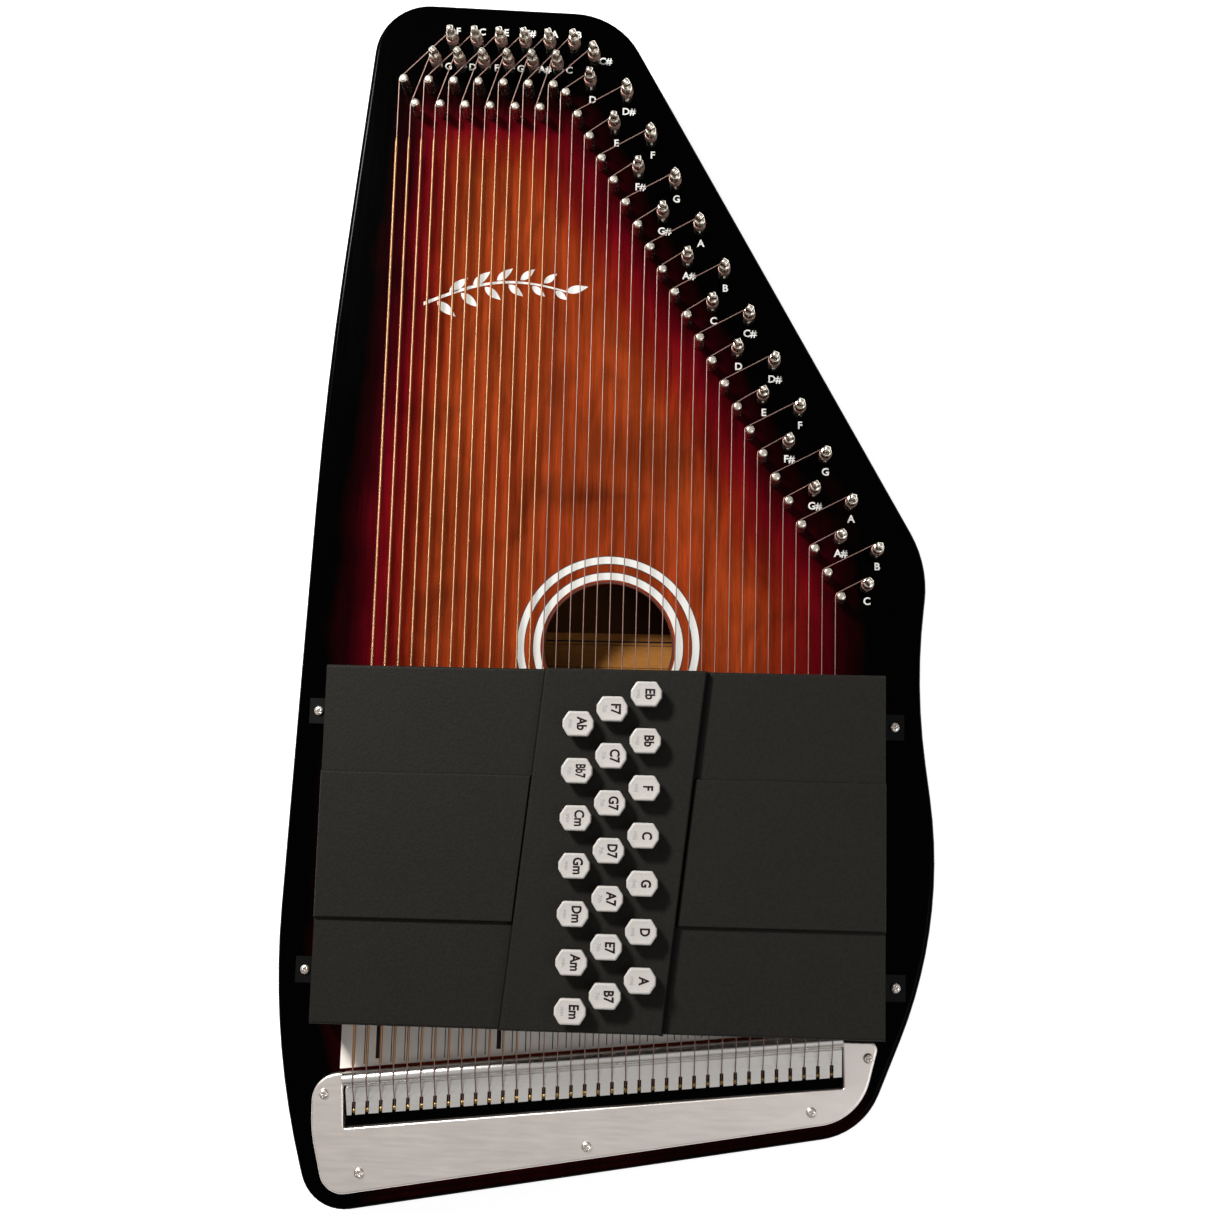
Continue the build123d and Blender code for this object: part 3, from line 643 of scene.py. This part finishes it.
def string_layout():
    """For each string from the lowest up: its ball, guide pin, tuning pin and radius."""
    guides = sorted((middle(b) for b in solids("guide_pins")), key=lambda c: c.x)
    tuners = [middle(b) for b in solids("tuning_pins")]
    wound = sorted(solids("wound_strings"), key=lambda b: b[0].x)
    plain_ones = sorted(solids("plain_strings"), key=lambda b: b[0].x)
    layout = []
    for i, (low, high) in enumerate(wound + plain_ones):
        is_wound = i < WOUND
        first, last = WOUND_RADII if is_wound else PLAIN_RADII
        step, steps = (i, WOUND - 1) if is_wound else (i - WOUND, len(plain_ones) - 1)
        radius = first + (last - first) * step / steps
        reach = PIN_RADIUS + 2 * CORE_RADIUS
        end = Vector((high.x - reach, high.y - reach))
        tuner = min(tuners, key=lambda c: (c.xy - end).length)
        ball = Vector((low.x + BALL_RADIUS, low.y + BALL_RADIUS, low.z + BALL_RADIUS))
        layout.append((ball, guides[i], tuner, radius, is_wound))
    return layout


def string_points(ball, guide, tuner, radius, is_wound):
    """The bent wire from its ball end to the last turn on its tuning pin."""
    wire = CORE_RADIUS if is_wound else radius
    ridge_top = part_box("anchor_bar")[1][2]
    x, z = ball.x, ridge_top + wire + GAP
    over = RIDGE_RADIUS + wire + GAP
    ridge = (ball.y + BALL_TO_RIDGE, ridge_top - RIDGE_RADIUS)
    span, rise = ridge[0] - ball.y, ridge[1] - ball.z
    fall = atan2(rise, span) + asin(over / hypot(span, rise))
    points = [tuple(ball)]
    points += [(x, y, h) for y, h in turn_points(ridge, over, pi / 2 + fall, pi / 2, 8)]
    round_guide = guide.x - x
    round_coil = PIN_RADIUS + PIN_CLEARANCE + wire
    aim = tuner.xy - guide.xy
    heading = atan2(aim.y, aim.x) - asin((round_guide - round_coil) / aim.length)
    bend = turn_points(guide, round_guide, pi, heading + pi / 2, 10)
    points += [(bend_x, bend_y, z) for bend_x, bend_y in bend]
    start = heading + pi / 2
    coil = turn_points(tuner, round_coil, start, start - 2 * pi * COIL_TURNS, COIL_STEPS)
    drop_per_step = PITCH * wire * COIL_TURNS / COIL_STEPS
    points += [(coil_x, coil_y, z - drop_per_step * s) for s, (coil_x, coil_y) in enumerate(coil)]
    return points


def make_ball_ends(layout, brass_with_painted_shade):
    """The ball at the near end of each string, under the comb, in brass darkened as painted shade."""
    bm = bmesh.new()
    for ball, *_ in layout:
        profile = [(0, ball.z - BALL_RADIUS)]
        for step in range(1, 8):
            angle = -pi / 2 + pi * step / 8
            profile.append((BALL_RADIUS * cos(angle), ball.z + BALL_RADIUS * sin(angle)))
        add_lathe(bm, ball, profile + [(0, ball.z + BALL_RADIUS)], 16)
    balls = object_from(bm, "ball_ends", brass_with_painted_shade, smooth=True)
    own(balls, stands_for=("wound_strings", "plain_strings"))


def make_strings(layout, steel, bronze):
    """Bare wires for every string, and a tapered sleeve of winding round the low ones."""
    paths = [string_points(*string) for string in layout]
    cores = curve_object("wound_string_cores", paths[:WOUND], CORE_RADIUS, steel)
    own(cores, stands_for=("wound_strings",))
    starts = range(WOUND, len(layout), WIRES_PER_PIECE)
    groups = [layout[start:start + WIRES_PER_PIECE] for start in starts]
    for number, group in enumerate(groups):
        radius = sum(string[3] for string in group) / len(group)
        wires = [string_points(*string) for string in group]
        strings = curve_object(f"plain_wires_{number + 1}", wires, radius, steel)
        own(strings, stands_for=("plain_strings",))
    for number, ((ball, _, _, radius, _), path) in enumerate(zip(layout[:WOUND], paths)):
        z = path[-1 - COIL_STEPS][2]
        low, high = ball.y + BALL_TO_RIDGE + WINDING_START, WINDING_END
        stations = [low, low + TAPER, (low + high) / 2, high - TAPER, high]
        line = [(ball.x, y, z) for y in stations]
        sleeve = curve_object(f"winding_{number + 1:02d}", [line], radius, bronze)
        for end in (0, -1):
            sleeve.data.splines[0].points[end].radius = 1.02 * CORE_RADIUS / radius
        own(sleeve, stands_for=("wound_strings",))


# ---------------------------------------------------------------- tuning pins
HEAD_HEIGHT, HEAD_FLAT = 5.5 * MM, 3.5 * MM
SQUARENESS = 7  # 2 would give a round head, and a large number sharp corners
HEAD_SIDES = 24
SHAFT_EDGE = 0.35 * MM


def add_square_head(bm, centre, low, high, turn):
    """A square pin head with rounded corners and a domed end."""
    heights = [low, low + 0.3 * MM, high - 1.9 * MM, high - 0.9 * MM, high - 0.25 * MM, high]
    widths = [0.82, 1.0, 0.97, 0.85, 0.55, 0.0]
    rings = []
    for height, width in zip(heights, widths):
        if width == 0:
            rings.append([bm.verts.new((centre.x, centre.y, height))])
            continue
        ring = []
        for step in range(HEAD_SIDES):
            angle = 2 * pi * step / HEAD_SIDES
            powers = abs(cos(angle)) ** SQUARENESS + abs(sin(angle)) ** SQUARENESS
            reach = HEAD_FLAT / 2 * width / powers ** (1 / SQUARENESS)
            across = Vector((reach * cos(angle), reach * sin(angle), 0))
            across.rotate(Matrix.Rotation(turn, 3, "Z"))
            ring.append(bm.verts.new((centre.x + across.x, centre.y + across.y, height)))
        rings.append(ring)
    bm.faces.new(rings[0][::-1])
    for a, b in zip(rings, rings[1:]):
        for s in range(HEAD_SIDES):
            t = (s + 1) % HEAD_SIDES
            bm.faces.new(list(dict.fromkeys((a[s], a[t], b[t % len(b)], b[s % len(b)]))))


def make_tuning_pins(layout, nickel):
    """Shafts with square heads, each turned to where its tuning left it."""
    bm = bmesh.new()
    low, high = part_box("tuning_pins")
    shaft_top = high[2] - HEAD_HEIGHT
    profile = [(0, low[2]), (PIN_RADIUS, low[2]), (PIN_RADIUS, shaft_top - SHAFT_EDGE),
               (PIN_RADIUS - SHAFT_EDGE, shaft_top), (0, shaft_top)]
    for number, (_, _, tuner, _, _) in enumerate(layout):
        add_lathe(bm, tuner, profile, 24)
        turn = (number * 2.4) % (pi / 2)
        add_square_head(bm, tuner, shaft_top - 0.2 * MM, high[2], turn)
    pins = object_from(bm, "tuning_pins_turned", nickel, smooth=True)
    own(pins, stands_for=("tuning_pins",))


# ---------------------------------------------------------------- springs
SPRING_WIRE, SPRING_RADIUS = 0.22 * MM, 1.75 * MM
SPRING_TURNS, STEPS_PER_TURN = 7, 14


def spring_path(centre, low, high):
    """The middle line of one coil, between the heights that its wire touches."""
    steps = SPRING_TURNS * STEPS_PER_TURN
    path = []
    for s in range(steps + 1):
        angle = 2 * pi * s * SPRING_TURNS / steps
        height = low + SPRING_WIRE + (high - low - 2 * SPRING_WIRE) * s / steps
        x, y = centre.x + SPRING_RADIUS * cos(angle), centre.y + SPRING_RADIUS * sin(angle)
        path.append((x, y, height))
    return path


def make_springs(steel):
    """A coil under each end of every bar."""
    coils = sorted((middle(b) for b in solids("bar_springs")), key=lambda c: -c.y)
    low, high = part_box("bar_springs")
    for bar in range(BARS):
        paths = []
        for centre in coils[2 * bar:2 * bar + 2]:
            paths.append(spring_path(centre, low[2], high[2]))
        pair = curve_object(f"spring_pair_{bar + 1:02d}", paths, SPRING_WIRE, steel, sides=3)
        data = bpy.data.meshes.new_from_object(pair)
        coil = bpy.data.objects.new(pair.name + "_coil", data)
        bpy.context.collection.objects.link(coil)
        bpy.data.objects.remove(pair)
        own(coil, stands_for=("bar_springs",))
        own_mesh(coil)


# ---------------------------------------------------------------- printed and inlaid details
NOTE_NAMES = ["C", "C#", "D", "D#", "E", "F", "F#", "G", "G#", "A", "A#", "B"]
NOTES = [5, 7, 0, 2, 4, 5, 6, 7, 9, 10, 11] + [n % 12 for n in range(25)]
HOLE = (-1.7 * MM, -32.6 * MM)
LETTER_HEIGHT = 3.6 * MM
# Where a letter stands from its tuning pin, by how far up the board the pin is.
LETTER_SHIFTS = [(265, (1.4, 8.2)), (255, (5.2, 0.5)), (-300, (0.8, -6.6))]


def make_note_letters(layout, white):
    """The name of each string's note, beside its tuning pin."""
    bm = bmesh.new()
    for (_, _, tuner, _, _), note in zip(layout, NOTES):
        shift = next(s for above, s in LETTER_SHIFTS if tuner.y > above * MM)
        place = (tuner.x + shift[0] * MM, tuner.y + shift[1] * MM, BOARD_TOP)
        add_text(bm, NOTE_NAMES[note], place, LETTER_HEIGHT, bold=0.035)
    own(object_from(bm, "note_letters", white))


WHITE_RINGS = [(32.2, 35.6), (40.0, 43.4)]
DARK_RINGS = [(30.5, 31.2), (35.6, 36.0), (39.6, 40.0), (43.4, 43.8)]
INLAY_BOTTOM = BOARD_TOP - 0.05 * MM


def make_rosette(white, dark):
    """Two pale rings round the sound hole, edged with dark lines."""
    bm = bmesh.new()
    for inner, outer in WHITE_RINGS:
        add_ring(bm, HOLE, inner * MM, outer * MM, INLAY_BOTTOM, BOARD_TOP + 0.06 * MM)
    own(object_from(bm, "rosette_white_rings", white))
    bm = bmesh.new()
    for inner, outer in DARK_RINGS:
        add_ring(bm, HOLE, inner * MM, outer * MM, INLAY_BOTTOM, BOARD_TOP + 0.04 * MM)
    own(object_from(bm, "rosette_dark_lines", dark))


def leaf_outline(root, tip, width, sides=10):
    """A pointed leaf from its root to its tip."""
    root, tip = Vector(root), Vector(tip)
    along = tip - root
    across = Vector((-along.y, along.x)).normalized() * width / 2
    edge = [(s / sides, sin(pi * (s / sides) ** 0.8)) for s in range(sides + 1)]
    one = [root + along * t + across * w for t, w in edge]
    other = [root + along * t - across * w for t, w in edge[1:-1]]
    return [tuple(p) for p in one + other[::-1]]


SPRIG_START, SPRIG_LENGTH, SPRIG_ARCH, SPRIG_RISE = (-97, 136), 70.0, 9.0, 4
SPRIG_STEPS = 24
STEM_WIDTH, STEM_TIP_WIDTH = 0.9, 0.4  # half widths
# Each leaf is this long and wide, less a little more for every leaf from the root.
LEAF_LENGTH, SHORTER = 12.5, 0.42
LEAF_WIDTH, NARROWER = 4.4, 0.12
PRINT = 0.05 * MM


def make_ornament(white):
    """A plain leafy sprig printed on the lacquer, laid out in millimetres."""
    bm = bmesh.new()
    low, high = BOARD_TOP, BOARD_TOP + PRINT
    stem = []
    for s in range(SPRIG_STEPS + 1):
        t = s / SPRIG_STEPS
        up = SPRIG_ARCH * sin(pi * t * 0.9) + SPRIG_RISE * t
        stem.append(Vector(SPRIG_START) + Vector((SPRIG_LENGTH * t, up)))
    thinner = STEM_WIDTH - STEM_TIP_WIDTH
    width = [STEM_WIDTH - thinner * s / SPRIG_STEPS for s in range(SPRIG_STEPS + 1)]
    upper = [(p.x * MM, (p.y + w) * MM) for p, w in zip(stem, width)]
    lower = [(p.x * MM, (p.y - w) * MM) for p, w in zip(stem, width)]
    add_prism(bm, upper[::-1] + lower, low, high)
    for number, s in enumerate(range(2, SPRIG_STEPS, 2)):
        root = stem[s]
        side = 1 if number % 2 else -1
        reach = LEAF_LENGTH - SHORTER * number
        tip = root + Vector((reach * 0.82, side * reach * 0.72))
        base = root + Vector((0.8, side * 1.3))
        outline = leaf_outline(base, tip, LEAF_WIDTH - NARROWER * number)
        add_prism(bm, [(x * MM, y * MM) for x, y in outline], low, high)
    tip = stem[-1] + Vector((11, 2.5))
    add_prism(bm, [(x * MM, y * MM) for x, y in leaf_outline(stem[-1], tip, 4.0)], low, high)
    own(object_from(bm, "sprig_ornament", white))


STRIP_LEFT, STRIP_RIGHT, STRIP_FAR = -0.1202, 0.1085, -0.196
STRIP_CORNER_Y = -0.2309
STRIP_THICKNESS, INK_THICKNESS = 0.2 * MM, 0.06 * MM
# How far from the strip's near edge a line starts, and half its width.
OCTAVE_LINE, STRING_LINE = (3.2 * MM, 1.0 * MM), (1.2 * MM, 0.22 * MM)


def strip_edge(x):
    """Y of the strip's near edge, parallel to the anchor bar."""
    return STRIP_CORNER_Y + COMB_SLOPE * (x - STRIP_LEFT)


def make_strip(layout, paper, ink):
    """The pale strip under the strings, with a line between strings, thick at each C."""
    top = BOARD_TOP + STRIP_THICKNESS
    bm = bmesh.new()
    near_edge = [(x, strip_edge(x)) for x in (STRIP_LEFT, STRIP_RIGHT)]
    far_edge = [(STRIP_RIGHT, STRIP_FAR), (STRIP_LEFT, STRIP_FAR)]
    add_prism(bm, near_edge + far_edge, BOARD_TOP, top)
    own(object_from(bm, "string_chart_strip", paper))
    bm = bmesh.new()
    for number in range(1, len(layout)):
        x = (layout[number - 1][0].x + layout[number][0].x) / 2
        start, half = OCTAVE_LINE if NOTES[number] == 0 else STRING_LINE
        outline = rectangle(x - half, x + half, strip_edge(x) + start, STRIP_FAR)
        add_prism(bm, outline, top, top + INK_THICKNESS)
    own(object_from(bm, "octave_bars", ink))


LABEL_HALF_X, LABEL_HALF_Y, LABEL_BELOW_HOLE = 36 * MM, 19 * MM, 8 * MM
LABEL_THICKNESS = 0.15 * MM
# How far up the label each ruled line is and how thick it is, in millimetres.
RULES = [(15, 0.8), (13.2, 0.3), (2, 0.3), (-6, 0.3), (-15, 0.8)]


def make_inside_label(amber, ink):
    """A plain paper label on the back, seen through the sound hole, with ruled lines."""
    x, y = HOLE[0], HOLE[1] - LABEL_BELOW_HOLE
    top = BACK_TOP + LABEL_THICKNESS
    bm = bmesh.new()
    outline = rectangle(x - LABEL_HALF_X, x + LABEL_HALF_X, y - LABEL_HALF_Y, y + LABEL_HALF_Y)
    add_prism(bm, outline, BACK_TOP, top)
    own(object_from(bm, "inside_label", amber))
    bm = bmesh.new()
    reach = LABEL_HALF_X * 0.9
    for up, thick in RULES:
        near, far = y + (up - thick / 2) * MM, y + (up + thick / 2) * MM
        add_prism(bm, rectangle(x - reach, x + reach, near, far), top, top + 0.05 * MM)
    own(object_from(bm, "inside_label_rules", ink))


# The chord of each bar: its root, counted in semitones from C, and its kind.
MAJOR, MINOR, SEVENTH = ("", "maj"), ("m", "min"), ("7", "7th")
ROOTS = [3, 5, 8, 10, 0, 10, 5, 7, 0, 0, 2, 7, 7, 9, 2, 2, 4, 9, 9, 11, 4]
KINDS = [
    MAJOR, SEVENTH, MAJOR, MAJOR, SEVENTH, SEVENTH, MAJOR, SEVENTH, MINOR, MAJOR, SEVENTH,
    MINOR, MAJOR, SEVENTH, MINOR, MAJOR, SEVENTH, MINOR, MAJOR, SEVENTH, MINOR,
]
FLAT_NAMES = {3: "Eb", 8: "Ab", 10: "Bb"}


def octagon(half_x, half_y, flat, tip, inset):
    """Corners of a cap with a flat on each side, with its edges moved inwards."""
    quarter = [(half_x, tip / 2), (flat / 2, half_y)]
    left = [(-x, y) for x, y in quarter[::-1]]
    ring = [Vector(p) for p in quarter + left + [(-x, -y) for x, y in quarter + left]]
    moved = []
    for before, corner, after in zip(ring[-1:] + ring[:-1], ring, ring[1:] + ring[:1]):
        one, two = (corner - before).normalized(), (after - corner).normalized()
        half_turn = one.angle(two) / 2
        towards = (two - one).normalized()
        moved.append(corner + towards * inset / cos(half_turn))
    return moved


def rounded(corners, radius, steps=4):
    """The same outline with its corners rounded."""
    outline = []
    for before, corner, after in zip(corners[-1:] + corners[:-1], corners, corners[1:] + corners[:1]):
        one, two = (corner - before).normalized(), (after - corner).normalized()
        half_turn = one.angle(two) / 2
        centre = corner + (two - one).normalized() * radius / cos(half_turn)
        start = centre - (two - one).normalized() * radius
        for step in range(steps + 1):
            angle = half_turn * (2 * step / steps - 1)
            spoke = start - centre
            spoke.rotate(Matrix.Rotation(angle, 2))
            outline.append(centre + spoke)
    return outline


CAP_FLAT, CAP_TIP = 8.8 * MM, 3.2 * MM
CAP_HEIGHT, STEM_RADIUS = 4.0 * MM, 2.2 * MM
CAP_CORNER, DISH_DEPTH = 1.3, 0.17  # millimetres
# How far in from the cap's side and how far below its rim each ring of its mesh lies,
# in millimetres.
CAP_RINGS = [
    (0.5, 4.0), (0.12, 3.8), (0.0, 3.3), (0.0, 0.9), (0.07, 0.5), (0.28, 0.2), (0.6, 0.04), (0.9, 0.0),
    (1.3, 0.03), (1.7, 0.12), (2.2, DISH_DEPTH),
]


def make_button(bar, material):
    """One cap with soft edges and a shallow dish for the finger, on its stem."""
    node = f"chord_button_{bar + 1:02d}"
    low, high = (Vector(corner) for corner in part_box(node))
    centre, half = (low + high) / 2, (high - low) / 2
    bm = bmesh.new()
    rings = []
    for inset, drop in CAP_RINGS:
        corners = octagon(half.x, half.y, CAP_FLAT, CAP_TIP, inset * MM)
        plan = rounded(corners, max(0.25, CAP_CORNER - inset) * MM)
        rings.append([bm.verts.new((centre.x + p.x, centre.y + p.y, high.z - drop * MM)) for p in plan])
    for a, b in zip(rings, rings[1:]):
        for s in range(len(a)):
            t = (s + 1) % len(a)
            bm.faces.new((a[s], a[t], b[t], b[s]))
    bm.faces.new(rings[0][::-1])
    bm.faces.new(rings[-1])
    stem_top = high.z - CAP_HEIGHT + 0.5 * MM
    add_lathe(bm, centre, [(0, low.z), (STEM_RADIUS, low.z), (STEM_RADIUS, stem_top), (0, stem_top)], 24)
    cap = object_from(bm, f"dished_button_{bar + 1:02d}", material, smooth=True)
    own(cap, BAR_BODIES[bar], (node,))
    return Vector((centre.x, centre.y, high.z - DISH_DEPTH * MM))


def make_buttons(plastic, ink, grey):
    """Caps with their chord names, turned to read from the treble side."""
    for bar in range(BARS):
        face = make_button(bar, plastic)
        name = FLAT_NAMES.get(ROOTS[bar], NOTE_NAMES[ROOTS[bar]]) + KINDS[bar][0]
        squeeze = 0.66 if len(name) > 2 else 0.84
        for label, words, shift, height, narrow, bold, material in (
            ("name", name, 1.5, 4.3, squeeze, 0.045, ink),
            ("kind", KINDS[bar][1], -3.3, 1.9, 1.0, 0.02, grey),
        ):
            bm = bmesh.new()
            place = (face.x + shift * MM, face.y, face.z)
            add_text(bm, words, place, height * MM, -pi / 2, narrow, bold)
            made = object_from(bm, f"chord_{label}_{bar + 1:02d}", material)
            own(made, BAR_BODIES[bar])


# ---------------------------------------------------------------- screws
SCREW_RADIUS, SCREW_HEAD, SCREW_HEAD_HEIGHT = 1.4 * MM, 2.3 * MM, 1.5 * MM
RECESS_REACH, RECESS_HALF, RECESS_DEPTH = 1.25 * MM, 0.24 * MM, 0.75 * MM


def make_screws(steel):
    """Pan heads with a cross recess, each turned as it was left.

    The two arms of a recess differ slightly in depth, so that the cut has no shared faces.
    """
    heads, crosses = bmesh.new(), bmesh.new()
    for number, (low, high) in enumerate(solids("mounting_screws")):
        centre, seat = (low + high) / 2, high.z - SCREW_HEAD_HEIGHT
        profile = [
            (0, low.z), (SCREW_RADIUS, low.z), (SCREW_RADIUS, seat), (SCREW_HEAD, seat),
            (SCREW_HEAD, seat + 0.55 * MM), (0.94 * SCREW_HEAD, seat + 0.9 * MM),
            (0.8 * SCREW_HEAD, seat + 1.2 * MM), (0.5 * SCREW_HEAD, high.z - 0.08 * MM), (0, high.z),
        ]
        add_lathe(heads, centre, profile, 36)
        turn = 0.5 + 1.1 * number
        for arm in (0, pi / 2):
            along = Vector((cos(turn + arm), sin(turn + arm)))
            across = Vector((-along.y, along.x)) * RECESS_HALF
            reach = along * RECESS_REACH
            signs = ((1, 1), (-1, 1), (-1, -1), (1, -1))
            corners = [tuple(centre.xy + a * reach + b * across) for a, b in signs]
            floor = high.z - RECESS_DEPTH - arm * 0.02 * MM
            add_prism(crosses, corners, floor, high.z + 0.5 * MM)
    made = object_from(heads, "cross_recess_screws", steel, smooth=True)
    cutter = object_from(crosses, "recess_cutter", steel)
    cut = made.modifiers.new("recess", "BOOLEAN")
    cut.object, cut.operation, cut.solver, cut.use_self = cutter, "DIFFERENCE", "EXACT", True
    evaluated = made.evaluated_get(bpy.context.evaluated_depsgraph_get())
    finished = bpy.data.meshes.new_from_object(evaluated)
    made.modifiers.remove(cut)
    made.data = finished
    bpy.data.objects.remove(cutter)
    own(made, stands_for=("mounting_screws",))


# ---------------------------------------------------------------- carried-over CAD nodes
def dress(material, *nodes):
    """Give CAD nodes a finish."""
    for node in nodes:
        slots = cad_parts[node].data.materials
        slots.clear()
        slots.append(material)


def dress_nodes():
    """Finish the CAD nodes that stay in view, and give back the nickel of the pins."""
    lacquer = black_lacquer()
    nickel = metal("nickel", srgb(236, 228, 214), 0.2, (90, 900, 400), 0.000003)
    dress(sunburst(), "soundboard")
    dress(lacquer, "back_plate", "pin_block", "tail_block", "side_rails")
    dress(raw_spruce(), "braces")
    dress(plain("foot_rubber", (0.02, 0.02, 0.02), 0.8, depth=0.00005), "feet")
    dress(nickel, "guide_pins")
    plate = metal("plate_nickel", srgb(238, 230, 224), 0.3, (60, 500, 300), 0.000002)
    dress(plate, "anchor_cover_plate")
    bar = metal("brushed_aluminium", srgb(232, 230, 226), 0.24, (30, 900, 900), 0.00002)
    dress(bar, "anchor_bar")
    dress(plain("holder_plastic", (0.002, 0.002, 0.002), 0.4, specular=0.1), "bar_holders")
    dress(cover_plastic(), "side_covers", "button_panel")
    dress(bar_and_felt(), *[f"chord_bar_{n + 1:02d}" for n in range(BARS)])
    return nickel


make_camera()
make_studio()
nickel = dress_nodes()
steel = metal("string_steel", srgb(150, 122, 114), 0.42, (600, 40, 600), 0.000001)
bronze = winding()
# Brass darkened well below its own colour: painted shade, for the balls in the shadowed gap under the
# anchor bar.
brass_with_painted_shade = metal("ball_brass", srgb(150, 120, 70), 0.3)
screw_steel = metal("screw_steel", srgb(225, 216, 208), 0.25, depth=0.000003)
white = plain("white_print", srgb(214, 214, 210), 0.45)
dark_line = plain("dark_line", srgb(40, 16, 12), 0.4)
paper = plain("strip_paper", srgb(240, 232, 224), 0.55, grain=1400.0)
ink = plain("black_ink", (0.012, 0.004, 0.006), 0.5, specular=0.15)
grey_ink = plain("grey_ink", (0.32, 0.31, 0.31), 0.4)
layout = string_layout()
make_strings(layout, steel, bronze)
make_ball_ends(layout, brass_with_painted_shade)
make_tuning_pins(layout, nickel)
make_springs(steel)
make_note_letters(layout, white)
make_rosette(white, dark_line)
make_ornament(white)
make_strip(layout, paper, ink)
make_inside_label(amber_label(), ink)
make_buttons(button_plastic(), ink, grey_ink)
make_screws(screw_steel)
